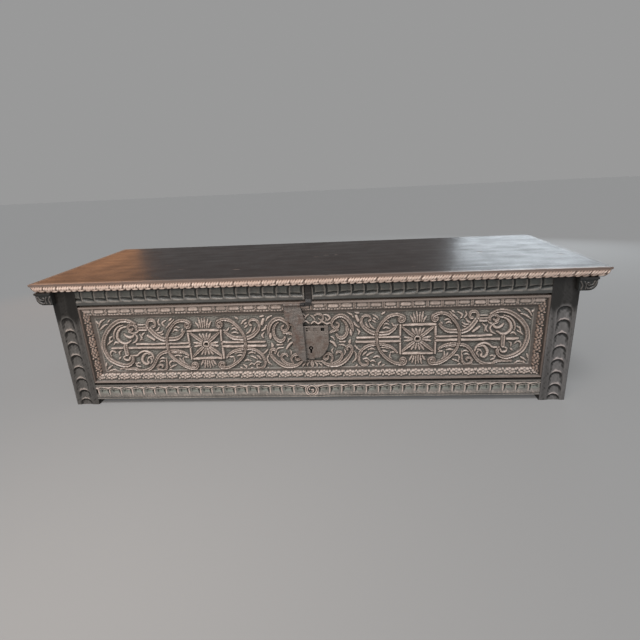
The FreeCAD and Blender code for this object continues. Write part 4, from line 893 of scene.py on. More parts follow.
LOCK_BANDS = (
    cut(Section.HOLLOW, 6.0, (10, 12, 12, 11, 9, 7, 5), (126, 238), (125, 252), (120, 265), (112, 275),
        (102, 282), (91, 284), (80, 280), (70, 271), (65, 260), (68, 250), (77, 246), (85, 250), (86, 258),
        (80, 262)),
    cut(Section.HOLLOW, 5.4, (4, 8, 10, 10, 11, 7), (95, 272), (106, 262), (111, 247), (110, 231),
        (104, 219), (94, 213), (84, 216), (79, 224)),
    cut(Section.HOLLOW, 4.8, (5, 9, 6), (55, 229), (67, 236), (83, 240)),
    cut(Section.ROUND, 4.4, (6, 11, 7), (122, 222), (121, 229), (121, 237)),
    cut(Section.LEAF, 4.0, (5, 9, 5), (119, 206), (117, 199), (118, 190)),
    cut(Section.HOLLOW, 6.0, (8, 11, 12, 11, 10, 7), (32, 136), (46, 127), (60, 124), (74, 124), (88, 129),
        (101, 138), (112, 149), (120, 160), (125, 171), (123, 182), (115, 187), (108, 181), (111, 175)),
    cut(Section.HOLLOW, 5.2, (5, 9, 9, 8, 5), (58, 131), (71, 132), (83, 139), (91, 150), (93, 160),
        (87, 168), (78, 168), (74, 161)),
    cut(Section.HOLLOW, 5.2, (5, 8, 8, 8, 5), (58, 135), (63, 147), (59, 158), (49, 163), (39, 159),
        (36, 150), (42, 144), (50, 148), (50, 154)),
    cut(Section.LEAF, 4.8, (5, 10, 6), (57, 204), (68, 197), (75, 186)),
    cut(Section.ROUND, 3.6, (6.0,), (88, 201), (103, 200)),
    cut(Section.LEAF, 3.6, (3, 6, 4), (84, 190), (97, 190), (106, 184)),
    cut(Section.LEAF, 3.6, (3, 6, 3), (100, 176), (104, 167), (100, 158)),
    cut(Section.LEAF, 3.4, (3, 6, 3), (60, 218), (68, 214), (72, 206)),
    cut(Section.LEAF, 3.4, (3, 6, 3), (66, 180), (62, 172), (64, 163)),
    cut(Section.ROUND, 5.0, (9, 10), (138, 281), (144, 267)),
    cut(Section.LEAF, 4.2, (4, 7, 4), (132, 262), (137, 252), (146, 246)),
    cut(Section.LEAF, 4.0, (4, 7, 4), (140, 240), (146, 232), (143, 224)),
    cut(Section.LEAF, 3.8, (4, 6, 3), (133, 186), (140, 178), (148, 172)),
    cut(Section.LEAF, 3.6, (3, 6, 6, 3), (132, 168), (137, 156), (134, 142), (124, 132)),
    cut(Section.LEAF, 3.6, (3, 6, 3), (112, 292), (124, 286), (131, 276)),
    cut(Section.ROUND, 4.4, (4, 6, 6, 5), (4, 260), (14, 267), (25, 260), (36, 267), (50, 259), (60, 262)),
    cut(Section.HOLLOW, 4.8, (4, 7, 7, 4), (14, 286), (26, 291), (38, 286), (41, 277), (34, 271), (27, 276)),
    cut(Section.LEAF, 4.4, (4, 7, 4), (44, 289), (55, 285), (61, 276), (54, 270)),
    cut(Section.LEAF, 4.0, (3, 6, 3), (3, 287), (11, 281), (16, 272)),
    cut(Section.LEAF, 3.6, (3, 5, 3), (46, 280), (50, 273), (47, 267)),
    cut(Section.ROUND, 3.8, (4, 5, 4), (4, 138), (18, 138), (33, 137)),
    cut(Section.LEAF, 4.6, (5, 9, 5), (0, 140), (2, 129), (0, 119)),
    cut(Section.LEAF, 4.0, (4, 7, 4), (8, 134), (14, 127), (14, 119)),
    cut(Section.LEAF, 3.6, (3, 6, 3), (20, 131), (28, 124), (30, 118)),
)
LEAVES = (
    ((409, 287), (424, 274), (437, 262)), ((434, 286), (446, 277), (441, 266)), ((455, 288), (458, 277),
    (452, 268)), ((457, 264), (463, 256), (472, 252)), ((447, 254), (456, 247), (466, 248)), ((449, 243),
    (458, 239), (466, 240)), ((424, 148), (436, 151), (444, 143), (442, 132)), ((424, 136), (434, 133),
    (444, 127)), ((452, 160), (461, 164), (471, 160)), ((458, 151), (466, 153), (474, 148)), ((486, 133),
    (480, 124), (484, 118)), ((500, 165), (496, 154), (502, 144)), ((534, 146), (540, 148), (545, 143)),
    ((536, 134), (545, 138), (548, 148)), ((601, 290), (609, 283)), ((611, 277), (622, 273), (634, 264),
    (641, 258)), ((617, 293), (631, 285), (642, 268)), ((645, 286), (640, 279)), ((623, 141), (632, 135),
    (641, 128)), ((627, 127), (637, 121)), ((641, 150), (645, 137)), ((608, 121), (618, 127), (628, 124)),
    ((602, 184), (608, 190), (616, 189), (621, 181), (619, 172)), ((590, 169), (597, 162)), ((588, 216),
    (597, 219), (604, 212)), ((606, 224), (615, 219), (624, 211)), ((604, 238), (612, 233), (615, 224)),
    ((585, 190), (592, 184), (591, 175)), ((505, 248), (513, 238), (511, 224)), ((519, 242), (514, 232),
    (520, 222)), ((401, 252), (411, 256), (418, 249)), ((397, 262), (407, 265), (414, 260)), ((386, 257),
    (391, 249)), ((402, 176), (419, 180), (433, 178)), ((404, 167), (416, 170), (427, 167)), ((399, 161),
    (399, 147), (391, 136), (379, 131)), ((381, 163), (394, 164)), ((410, 158), (404, 147), (396, 141)),
    ((238, 161), (237, 148), (244, 136), (257, 131)), ((239, 163), (255, 163)), ((234, 175), (218, 179),
    (205, 176)), ((228, 165), (216, 168), (207, 163)), ((243, 257), (251, 248), (262, 251)), ((236, 252),
    (225, 256), (217, 247)), ((233, 263), (224, 266), (219, 260)), ((217, 240), (226, 243), (237, 240)),
    ((176, 257), (182, 246), (193, 238)), ((187, 265), (195, 258)), ((165, 258), (169, 248), (176, 242)),
    ((188, 283), (198, 277), (205, 268)), ((189, 272), (196, 268)), ((135, 292), (148, 290)), ((168, 153),
    (177, 160), (187, 164)), ((188, 147), (199, 151), (208, 146)), ((158, 141), (168, 144), (177, 137)),
    ((179, 134), (188, 137), (196, 130)), ((172, 173), (182, 177), (192, 172)), ((156, 153), (161, 160),
    (168, 166)), ((212, 134), (204, 126), (206, 119)), ((222, 124), (214, 119)), ((185, 123), (192, 119)),
    ((139, 122), (133, 118)), ((447, 122), (440, 118)), ((213, 284), (222, 291)), ((424, 284), (415, 291)),
)


@dataclass
class PanelCarving:
    """The carved front panel: strapwork scrolls, two starred frames and a lock seat."""

    effects: Effects
    step: float = 1.7 * MM
    field_up: float = 88 * MM
    field_ends: tuple[float, float] = (-664 * MM, 646 * MM)
    sunk_edge: float = 2.5 * MM
    star_at: tuple[float, float] = (319.5, 204.5)
    star_half: tuple[float, float] = (51.0, 46.0)
    boss_radius: float = 12 * MM
    boss_rise: float = 5.2 * MM
    boss_groove: float = 2 * MM
    hole_radius: float = 6.2 * MM
    hole_depth: float = 9 * MM
    pocket_half: float = 40.5 * MM
    play_below: float = 3 * MM
    play_above: float = 0.8 * MM
    play_behind: float = 0.5 * MM
    seat_margin: float = 2.5 * MM
    seat_foot: float = 8 * MM
    field_slope: float = 2 * MM
    seat_rise: float = 10.3 * MM
    border_rise: float = 2.2 * MM
    depth: float = 1.28
    contrast: float = 5 * MM
    full_level: float = 7 * MM
    wobble: Unevenness = Unevenness(11, 0.09, 0.7 * MM)
    tooling: Unevenness = Unevenness(5, 6 * MM, 0.38 * MM, 14)

    def rings(self) -> list[Stroke]:
        """The two halves of the ring round the star."""
        widths = (9, 9, 8, 8, 9, 10)
        beyond = tuple((2 * self.star_at[0] - u, v) for u, v in RING)
        return [Stroke(line, widths, 6.4, start=Curl(10.5, 1.35, side), end=Curl(11, 1.35, -side))
                for line, side in ((RING, 1), (beyond, -1))]

    def tufts(self) -> list[Stroke]:
        """The rows of leaves above and below a starred frame."""
        petals = []
        middle = self.star_at[0]
        spread = ((-1.0, 0.62), (-0.62, 0.85), (-0.2, 1.0), (0.2, 0.9), (0.6, 1.0), (1.0, 0.55))
        for foot, tip in ((258, 289), (153, 123)):
            for lean, share in spread:
                rise = share * (tip - foot)
                places = ((middle + lean * out, foot + up * rise)
                          for out, up in ((15, 0.0), (18, 0.5), (24, 1.0)))
                petals.append(cut(Section.LEAF, 3.9, (4, 7, 3.5), *places))
        return petals

    def star(self) -> list[Stroke]:
        """The frame, four long rays and the petals of one star."""
        (u, v), (wide, high) = self.star_at, self.star_half
        corners = [(u - wide, v - high), (u + wide, v - high), (u + wide, v + high), (u - wide, v + high)]
        strokes = [cut(Section.FLAT, 5.4, (8.0,), a, b) for a, b in zip(corners, corners[1:] + corners[:1])]
        few, many = (-0.17, 0.17), (-0.52, -0.18, 0.18, 0.52)
        for sx, sy, reach, leans in ((1, 0, 37, few), (-1, 0, 37, few), (0, 1, 33, many), (0, -1, 34, many)):
            for lean in leans:
                tip = (u + reach * (sx - lean * sy), v + reach * (sy + lean * sx))
                foot = (u + 11 * (sx - 0.8 * lean * sy), v + 11 * (sy + 0.8 * lean * sx))
                strokes.append(cut(Section.LEAF, 3.6, (4, 7, 8, 5), foot, tip))
        for sx, sy in ((1, 1), (1, -1), (-1, 1), (-1, -1)):
            places = ((u + across * sx, v + up * sy) for across, up in ((9, 8), (26, 22), (44, 38)))
            strokes.append(cut(Section.HOLLOW, 5.4, (9, 11, 6), *places))
        return strokes

    def carved(self, xs: np.ndarray, zs: np.ndarray) -> Relief:
        """The panel's grid with all of its ornament.

        Args:
            xs: Grid lines across.
            zs: Grid lines up.

        Returns:
            The grid, before its border, its lock seat and its tool marks.
        """
        relief = Relief(xs, zs, self.wobble, mirrored=True)
        self.shift_left_half(relief)
        leaves = [Stroke(points, (3.5, 6.5, 3), 3.7, Section.LEAF) for points in LEAVES]
        for stroke in (*leaves, *self.tufts(), *self.star(), *BARS, *BANDS_UNDER_RING, *self.rings(),
                       *END_BANDS, *LOCK_BANDS):
            relief.carve(stroke)
        relief.height *= self.depth
        star = (self.star_at[0] * MM, self.star_at[1] * MM)
        relief.boss(star, self.boss_radius, self.boss_rise, self.boss_groove)
        relief.hole(star, self.hole_radius, self.hole_depth)
        return relief

    def build(self) -> None:
        """Carve the panel."""
        panel, plate, lock = Bounds.of("front_panel"), Bounds.of("lock_plate"), Bounds.of("lock_case")
        left, right = panel.low.x + TONGUE, panel.high.x - TONGUE
        foot, top = panel.low.z + TONGUE, panel.high.z - TONGUE
        middle = (Bounds.of("frame_moulding_bottom").low.z + Bounds.of("frame_moulding_top").high.z) / 2
        xs = spaced(left, right, self.step, (-self.pocket_half, self.pocket_half))
        zs = spaced(foot, top, self.step)
        relief = self.carved(xs, zs)
        inside = self.field_mask(relief, middle)
        relief.height += self.tooling.at(relief.across, relief.up)
        height = inside * relief.height + (1 - inside) * self.border_rise
        relief.height = height
        # Painted shade: the plain border beside the mouldings gets a low exposure that darkens it, with a
        # lighter line along its slope.
        border_shade_tone = 0.16 + 2.0 * inside * (1 - inside)
        exposed = inside * relief.exposure(self.contrast) ** 1.25 + (1 - inside) * border_shade_tone
        level = np.clip(height / self.full_level, 0, 1)
        frame_top = Bounds.of("frame_moulding_top").high.z
        # Painted shade: where the panel shows in the gaps above and below the frame mouldings, it is flat and
        # fully darkened.
        seam = (relief.up > frame_top) | (relief.up < 2 * middle - frame_top)
        height, exposed = np.where(seam, 0.0, height), np.where(seam, 0.0, exposed)
        seat = self.seat(relief, plate)
        height = height * (1 - seat) + seat * self.seat_rise
        pocket = (np.abs(relief.across) <= self.pocket_half) & (relief.up > lock.low.z - self.play_below) & (
            relief.up < lock.high.z + self.play_above)
        ground = panel.low.y + self.seat_rise
        depth = lock.high.y + self.play_behind - ground
        height = np.where(pocket, -depth, height)
        shell = Shell("carved_front_panel")
        slab(shell, xs, zs, ground - height, panel.high.y, level, exposed)
        finish = CARVED.material(self.effects, Grain.ALONG_X)
        shell.build("case", "front_panel", "wood_carved", finish)

    def shift_left_half(self, relief: Relief) -> None:
        """Carve the left half a little longer and lower than the right one, as by hand.

        Args:
            relief: The panel's grid, whose places are moved.
        """
        reach = np.abs(relief.across) / MM
        near, far = smoothstep(20, 90, reach), smoothstep(400, 640, reach)
        up = np.clip((relief.up / MM - 115) / 175, 0, 1)
        beside_star = 1 - np.exp(-((reach - self.star_at[0]) / 55) ** 2)
        drop = 4.5 + 3.5 * np.sin(up * math.pi) * (1 - far) * beside_star + 5 * far * (1 - up)
        stretch = 6.5 * smoothstep(40, 320, reach) + 11.5 * far
        left = relief.across < 0
        relief.u -= np.where(left, stretch, 0) * MM
        relief.v += np.where(left, drop * near, 1.5) * MM

    def field_mask(self, relief: Relief, middle: float) -> np.ndarray:
        """How far each place lies in the sunk field, whose foot hangs a little at the left.

        Args:
            relief: The panel's grid.
            middle: Height of the field's middle.

        Returns:
            1 in the field and 0 on its border.
        """
        low = middle - self.field_up + self.sunk_edge * np.clip(relief.across / self.field_ends[1], -1, 1)
        inside = np.minimum.reduce([relief.across - self.field_ends[0], self.field_ends[1] - relief.across,
                                    relief.up - low, middle + self.field_up - relief.up])
        return smoothstep(-self.field_slope, self.field_slope, inside)

    def seat(self, relief: Relief, plate: Bounds) -> np.ndarray:
        """The raised seat under the lock plate, a little inside its outline.

        Args:
            relief: The panel's grid.
            plate: The plate's box.

        Returns:
            1 on the seat and 0 off it.
        """
        half = plate.high.x - self.seat_margin
        top, foot = plate.high.z - self.seat_margin, plate.low.z + self.seat_foot
        up = (relief.up - foot) / (top - foot)
        width = half * np.clip(0.42 + 0.58 * np.sin(np.clip(up / 0.55, 0, 1) * math.pi / 2), 0, 1)
        inside = np.minimum.reduce([width - np.abs(relief.across), relief.up - foot, top - relief.up])
        return (inside > 0).astype(float)


def slab(shell: Shell, xs: np.ndarray, zs: np.ndarray, front: np.ndarray, back: float, relief: np.ndarray,
         exposed: np.ndarray) -> None:
    """Add a board whose front follows a grid of depths and whose back is flat.

    Args:
        shell: What it is added to.
        xs: Grid lines across.
        zs: Heights up the front, the same everywhere or by place across and place up.
        front: Depth of the front, by place across and place up.
        back: Depth of the back.
        relief: Height of the carving, from 0 to 1.
        exposed: How far each place stands out.
    """
    count, around = front.shape
    rings = np.zeros((count, around + 2, 3))
    rings[:, :, 0] = xs[:, None]
    rings[:, :around, 1], rings[:, around:, 1] = front, back
    rings[:, :around, 2] = zs
    rings[:, around, 2], rings[:, around + 1, 2] = rings[:, around - 1, 2], rings[:, 0, 2]
    plain = np.full((count, 2), 0.5)
    shell.sweep(rings, np.hstack([relief, plain]), np.hstack([exposed, plain]))


@dataclass
class Gadroons:
    """A row of gouged flutes, each deep at its inner end and rising outward to a ridge."""

    start: float
    pitch: float = 37.5 * MM
    depth: float = 7 * MM
    bow: float = 0.10
    thumb: float = 0.0

    def height(self, u: np.ndarray, v: np.ndarray, low: float, high: float) -> np.ndarray:
        """Depth below the face.

        Args:
            u: Distance from the row's middle.
            v: Height.
            low: Foot of the row.
            high: Top of the row.

        Returns:
            Heights, all 0 or less.
        """
        up = np.clip((v - low) / (high - low), 0, 1)
        place = (u - self.start) / self.pitch - self.bow * np.sin(up * math.pi)
        share = place - np.floor(place)
        slit = smoothstep(0.0, 0.05, share) * smoothstep(0.24, 0.13, share)
        flute = (0.6 * smoothstep(0.0, 0.08, share) + 0.5 * slit) * np.clip(3 - 3 * share, 0, 1)
        if self.thumb:
            head = self.thumb * (1 + 0.5 * (share - 0.5))
            width = half_round((share - 0.5) / 0.46)
            lens, above = np.clip(up / head, 0, 1) ** 1.5 * width, smoothstep(head + 0.05, head + 0.18, up)
            shape = np.where(up < head, lens, width * (1 - above) + (0.1 + 0.6 * flute) * above)
        else:
            arch = 1 - 0.22 * (1 - share) ** 2 - 0.10 * smoothstep(0.8, 1.0, share)
            lens = 0.45 * smoothstep(0.05, 0.0, np.abs(arch - 0.20 - up))
            shape = (0.12 + 0.9 * flute) * smoothstep(0.0, 0.07, arch - up) * smoothstep(0.0, 0.6, up)
            shape *= 1 - lens
        return -self.depth * shape * (up > 0) * (u > self.start)


@dataclass
class Rails:
    """The two gadrooned front rails."""

    effects: Effects
    step: float = 1.5 * MM
    notch_half: float = 10 * MM
    notch_depth: float = 7 * MM
    rosette: float = 17 * MM
    rosette_at: float = -5 * MM
    rosette_depth: float = 4.5 * MM
    band: float = 10 * MM
    overlap: float = 1 * MM
    pitches: tuple[float, float] = (39.5 * MM, 37.7 * MM)
    left_shift: float = 1.5 * MM
    thumb: float = 0.19
    contrast: float = 3.4 * MM
    full_level: float = 4.5 * MM
    painted_shadow_reach: float = 5 * MM
    wobble: Unevenness = Unevenness(23, 0.11, 0.7 * MM)
    tooling: Unevenness = Unevenness(7, 9 * MM, 0.12 * MM, 12)

    def carve(self, name: str, node: str, kept: Sequence[float], finish: WoodFinish,
              shape: Callable[[Relief, float, float], np.ndarray]) -> None:
        """Carve one rail.

        Args:
            name: The piece's name.
            node: The rail's node.
            kept: Places across that fall on a grid line.
            finish: The rail's wood.
            shape: Gives the heights from the grid, the foot and the top.
        """
        rail, panel = Bounds.of(node), Bounds.of("front_panel")
        left, right = panel.low.x + TONGUE, panel.high.x - TONGUE
        xs = spaced(left, right, self.step, kept)
        zs = spaced(rail.low.z, rail.high.z, self.step)
        relief = Relief(xs, zs, self.wobble)
        relief.height = shape(relief, rail.low.z, rail.high.z)
        relief.height = np.minimum(relief.height + self.tooling.at(relief.across, relief.up), 0.0)
        # Painted shadow: the rail's top rows under the lid lose their exposure and turn dark.
        painted_lid_shadow = smoothstep(0, self.painted_shadow_reach, rail.high.z + 1 * MM - relief.up)
        exposed = relief.exposure(self.contrast) * painted_lid_shadow
        level = np.clip(1 + relief.height / self.full_level, 0, 1)
        shell = Shell(name)
        slab(shell, xs, zs, rail.low.y - relief.height, rail.high.y, level, exposed)
        shell.build("case", node, "wood_carved", finish.material(self.effects, Grain.ALONG_X))

    def top(self, relief: Relief, foot: float, top: float) -> np.ndarray:
        """The upper rail: gadroons over a plain band, cut through for the strap."""
        reach, low = np.abs(relief.u), foot + self.band - self.overlap
        starts = (self.notch_half + self.left_shift, self.notch_half)
        left, right = (Gadroons(start, pitch, thumb=self.thumb).height(reach, relief.v, low, top)
                       for start, pitch in zip(starts, self.pitches))
        row = np.where(relief.across < 0, left, right)
        notch = np.abs(relief.across) <= self.notch_half
        return np.where(notch, -self.notch_depth, row - 0.4 * MM)

    def bottom(self, relief: Relief, foot: float, top: float) -> np.ndarray:
        """The lower rail: gadroons between two fillets, with a rosette in the middle."""
        reach = np.abs(relief.u - self.rosette_at)
        low = foot + self.band - self.overlap
        row = Gadroons(self.rosette).height(reach, relief.v, low, top - self.band)
        upper_line, lower_line = (2.2 * MM, top - 8.5 * MM, 1.3 * MM), (1.6 * MM, foot + 4.5 * MM, 1.2 * MM)
        for depth, place, width in (upper_line, lower_line):
            row = row - depth * np.exp(-((relief.v - place) / width) ** 2)
        u, v = relief.u - self.rosette_at, relief.v - (foot + top) / 2 + 1.5 * MM
        share, turn = np.hypot(u, v) / self.rosette, np.arctan2(v, u)
        petals = np.maximum(0, np.sin(1.5 * turn + 2.2 * share * math.pi))
        flower = -self.rosette_depth * (1 - 0.9 * petals * np.sin(np.clip(share / 0.72, 0, 1) * math.pi))
        flower = np.where(share < 0.16, -1.2 * MM, flower)
        ring = smoothstep(0.70, 0.77, share) * smoothstep(1.0, 0.94, share)
        flower = np.where(share > 0.68, -self.rosette_depth * (1 - ring), flower)
        return np.where(share < 1.05, flower, row - 0.3 * MM)

    def build(self) -> None:
        """Carve both rails."""
        # The top rail takes the darker finish as painted shadow under the lid.
        self.carve("carved_top_rail", "top_rail_front", (-self.notch_half, self.notch_half), TOP_RAIL_SHADOW_WOOD, self.top)
        self.carve("carved_bottom_rail", "bottom_rail_front", (), GREYED, self.bottom)


@dataclass
class Posts:
    """The front posts with a column of gouged scales on each."""

    effects: Effects
    step: float = 1.7 * MM
    pitch: float = 41 * MM
    scale_half: float = 21 * MM
    depth: float = 6.5 * MM
    outer_margin: float = 12 * MM
    first_drop: float = 84 * MM
    last_rise: float = 10 * MM
    rows: int = 8
    contrast: float = 3 * MM
    full_level: float = 7.5 * MM
    worn_edge: float = 2.5 * MM
    worn_depth: float = 1.4 * MM
    seeds: tuple[int, int] = (31, 17)

    def height(self, relief: Relief, centre: float, rim: float) -> np.ndarray:
        """Gouged scales, each deepest just under its arc.

        Args:
            relief: The post's grid.
            centre: Middle of the column.
            rim: Top of the post.

        Returns:
            Heights, all 0 or less.
        """
        side = (relief.u - centre) / self.scale_half
        arc = self.scale_half * (half_round(side) - 1)
        height = np.zeros_like(relief.v)
        for row in range(self.rows):
            head = rim - self.first_drop - row * self.pitch
            if row == self.rows - 1:
                head += self.last_rise
            below = (head + arc - relief.v) / self.pitch
            fade = half_round(side) * (1 - 0.35 * smoothstep(0.6, 1.0, np.abs(side)))
            scoop = np.clip(1 - below, 0, 1) ** 1.15 * smoothstep(0.0, 0.08, below) * fade
            height = np.where((below > 0) & (np.abs(side) < 1), -self.depth * scoop, height)
        return height

    def build(self, side: Side) -> None:
        """Carve one post.

        Args:
            side: Which end.
        """
        node = f"stile_front_{side.word}"
        post = Bounds.of(node)
        outer = post.low.x if side is Side.LEFT else post.high.x
        centre = outer - side.value * (self.outer_margin + self.scale_half)
        xs = spaced(post.low.x, post.high.x, self.step)
        zs = spaced(post.low.z, post.high.z, self.step)
        wobble, tooling = (seed + side.value for seed in self.seeds)
        relief = Relief(xs, zs, Unevenness(wobble, 0.08, 0.9 * MM))
        relief.height = self.height(relief, centre, post.high.z)
        # Painted highlight: each scale's arc keeps its light colour at the crown and darkens towards its
        # sides.
        crown_highlight = 1 - 0.45 * smoothstep(0.45, 0.95, np.abs(relief.u - centre) / self.scale_half)
        edges = np.minimum.reduce([relief.across - post.low.x, post.high.x - relief.across])
        relief.height -= self.worn_depth * smoothstep(self.worn_edge, 0.0, edges)
        relief.height += Unevenness(tooling, 12 * MM, 0.2 * MM, 12).at(relief.across, relief.up)
        relief.height = np.minimum(relief.height, 0.0)
        # Painted shadow: the post's top under the lid loses exposure and turns darker.
        painted_post_shadow = smoothstep(self.first_drop + 10 * MM, self.first_drop - 40 * MM,
                               relief.up - post.high.z + 2 * self.first_drop)
        exposed = crown_highlight * relief.exposure(self.contrast) * (0.35 + 0.65 * painted_post_shadow)
        level = np.clip(1 + relief.height / self.full_level, 0, 1)
        shell = Shell(f"carved_post_{side.word}")
        slab(shell, xs, zs, post.low.y - relief.height, post.high.y, level, exposed)
        # The right post takes a lighter copy of the left post's finish as painted light.
        finish = WEATHERED if side is Side.LEFT else RIGHT_POST_LIT_WOOD
        shell.build("case", node, "wood_carved", finish.material(self.effects, Grain.ALONG_Z))


@dataclass
class EdgeCarving:
    """A carved moulding swept along a straight run, square or mitred at each end."""

    origin: Vector
    along: Vector
    inward: Vector
    outward: Vector
    length: float
    profile: Callable[[np.ndarray], np.ndarray]
    reach: float
    back: tuple[tuple[float, float], ...]
    pattern: Callable[[np.ndarray, np.ndarray], np.ndarray]
    mitres: tuple[float, float]
    lip: float
    lip_tone: float
    recessed: bool = False
    contrast: float = 2.6 * MM
    full_level: float = 3.5 * MM
    lip_margin: float = 0.5 * MM
    step: float = 1.7 * MM
    across_steps: int = 20

    def add_to(self, shell: Shell) -> None:
        """Add the moulding to a shell.

        Args:
            shell: What it is added to.
        """
        across = np.linspace(0, self.reach, self.across_steps)
        level = self.profile(across)
        count = max(2, math.ceil(self.length / self.step))
        share = np.linspace(0, 1, count + 1)[:, None]
        along = self.run(share, -level if self.recessed else across)
        carving = self.pattern(along, across[None, :] / self.reach + 0 * along)
        height = level + carving
        near, far = (carving - blurred(carving, reach) for reach in (2, 5))
        exposed = np.clip(0.55 + (0.9 * near + 0.6 * far) / self.contrast, 0, 1)
        exposed = np.where(across < self.lip - self.lip_margin, self.lip_tone, exposed)
        relief = np.clip(1 + carving / self.full_level, 0, 1)
        points = self.place(along, across[None, :] + 0 * along, height)
        backs = []
        for reach, back in self.back:
            line = self.run(share, np.array([-back if self.recessed else reach]))
            backs.append(self.place(line, reach + 0 * line, back + 0 * line))
        plain = np.full((len(share), len(self.back)), 0.5)
        hidden = np.full_like(plain, self.lip_tone)
        shell.sweep(np.concatenate([points, *backs], axis=1), np.hstack([relief, plain]),
                    np.hstack([exposed, hidden]))

    def run(self, share: np.ndarray, setback: np.ndarray) -> np.ndarray:
        """Places along the run, from one mitre to the other."""
        start, stop = self.mitres[0] * setback, self.length - self.mitres[1] * setback
        return start + share * (stop - start)

    def place(self, along: np.ndarray, inward: np.ndarray, outward: np.ndarray) -> np.ndarray:
        """The places with these coordinates, in the shared frame."""
        return (np.array(self.origin) + along[..., None] * np.array(self.along)
                + inward[..., None] * np.array(self.inward) + outward[..., None] * np.array(self.outward))


Pattern = Callable[[np.ndarray, np.ndarray], np.ndarray]
Dome = tuple[float, float, float, float]
DOME_SLOPE = 1.4 * MM
BAR_SIDES = (1.6 * MM, 0.6 * MM)


def domes(lobes: Sequence[Dome], pitch: float, width: float, depth: float, lip: float, lean: float = 0.0,
          bars: float = 0.0) -> Pattern:
    """Cells of small domes between pairs of thin bars. Each cell is cut a little differently.

    Args:
        lobes: Each dome's place and half sizes in a cell, along and in from the outer edge, in millimetres.
        pitch: Length of a cell.
        width: Width of the moulding.
        depth: Depth of the cuts.
        lip: Width of the plain lip.
        lean: How far the domes lean along the run.
        bars: Distance from a cell's end to its bar, if it has one.

    Returns:
        A pattern of heights, 0 or less.
    """
    def pattern(along: np.ndarray, share: np.ndarray) -> np.ndarray:
        index = np.floor(along / pitch)
        hand = [np.sin(index * pace + salt) for pace, salt in ((2.4, 0.3), (3.7, 1.9), (5.1, 4.0))]
        x, y = (along / pitch - index - 0.5) * pitch / MM + 1.5 * hand[0], share * width / MM + 0.9 * hand[1]
        inside = smoothstep(lip, lip + DOME_SLOPE, share * width) * smoothstep(1.03, 0.98, share)
        edge = pitch / 2 - np.abs(along / pitch - index - 0.5) * pitch
        bar = smoothstep(*BAR_SIDES, np.abs(edge - bars)) * (bars > 0)
        top = np.maximum.reduce([(0.82 + 0.18 * hand[2]) * np.sqrt(np.clip(
            1 - ((x - u + lean * (y - v)) / half_u) ** 2 - ((y - v) / half_v) ** 2, 0, 1))
            for u, v, half_u, half_v in lobes])
        return -depth * inside * (1 - np.maximum(top, 0.9 * bar))
    return pattern


FLOWER: tuple[Dome, ...] = (
    (-9, 15, 6, 4), (6.5, 15.5, 6.5, 4.5), (-6.5, 25.5, 6.5, 4.5), (9, 24.5, 6.5, 4.5), (-1, 11.5, 4.5, 3),
    (1, 28, 5, 3), (0.5, 20, 5, 5), (-14, 21, 4, 5), (14.5, 17, 3.5, 4.5), (-19, 12, 3.5, 4),
    (19, 26, 3.5, 4), (-18.5, 27, 3, 3))
BARREL: tuple[Dome, ...] = (
    (-7, 15, 9, 6), (7, 15, 9, 6), (0, 15, 11, 6), (-13, 26.5, 5, 4.5), (-4.5, 27, 4.5, 4),
    (4.5, 26.5, 4.5, 4), (13, 26.5, 5, 4.5), (0, 9, 18, 1.5))
ACANTHUS: tuple[Dome, ...] = (
    (-17, 14, 4, 10), (-10, 15, 4.5, 10), (-2, 16, 5, 12), (6, 14.5, 4.5, 10), (14, 14, 4, 9),
    (-11, 25, 7, 4), (9, 25.5, 9, 3.5))


@dataclass
class PanelFrame:
    """The four mitred mouldings round the panel."""

    effects: Effects
    lip: float = 5.5 * MM
    step_down: float = 1.5 * MM
    fillet: float = 1.5 * MM
    pitch: float = 40 * MM
    depth: float = 4 * MM
    tone: float = 0.34

    def build(self) -> None:
        """Carve the four lengths."""
        top, bottom = Bounds.of("frame_moulding_top"), Bounds.of("frame_moulding_bottom")
        left, right, foot, head = bottom.low.x, bottom.high.x, bottom.low.z, top.high.z
        width = top.high.z - top.low.z
        ground, front = top.high.y, top.low.y
        rise, inner = ground - front, self.fillet

        def profile(across: np.ndarray) -> np.ndarray:
            ovolo = np.clip((across - self.lip) / (width - self.lip - 1 * MM), 0, 1)
            drop = rise - self.step_down - inner
            curve = inner + drop * np.sqrt(1 - ovolo**7)
            return np.where(across <= self.lip, rise, curve)

        flowers = domes(FLOWER, self.pitch, width, self.depth, self.lip)
        barrels = domes(BARREL, self.pitch + 2 * MM, width, 0.75 * self.depth, self.lip, bars=2 * MM)
        along_x, along_z, out = Vector((1, 0, 0)), Vector((0, 0, 1)), Vector((0, -1, 0))
        runs = {
            "top": ((left, ground, head), along_x, -along_z, right - left, barrels),
            "bottom": ((left, ground, foot), along_x, along_z, right - left, flowers),
            "left": ((left, ground, foot), along_z, along_x, head - foot, flowers),
            "right": ((right, ground, foot), along_z, -along_x, head - foot, flowers),
        }
        for name, (origin, along, inward, length, pattern) in runs.items():
            shell = Shell(f"carved_moulding_{name}")
            back = ((width, 0.0), (0.0, 0.0))
            EdgeCarving(Vector(origin), along, inward, out, length, profile, width, back, pattern, (1.0, 1.0),
                        self.lip, self.tone).add_to(shell)
            finish, grain = (CARVED, Grain.ALONG_X) if along is along_x else (DULL, Grain.ALONG_Z)
            material = finish.material(self.effects, grain)
            shell.build("case", f"frame_moulding_{name}", "wood_carved", material)


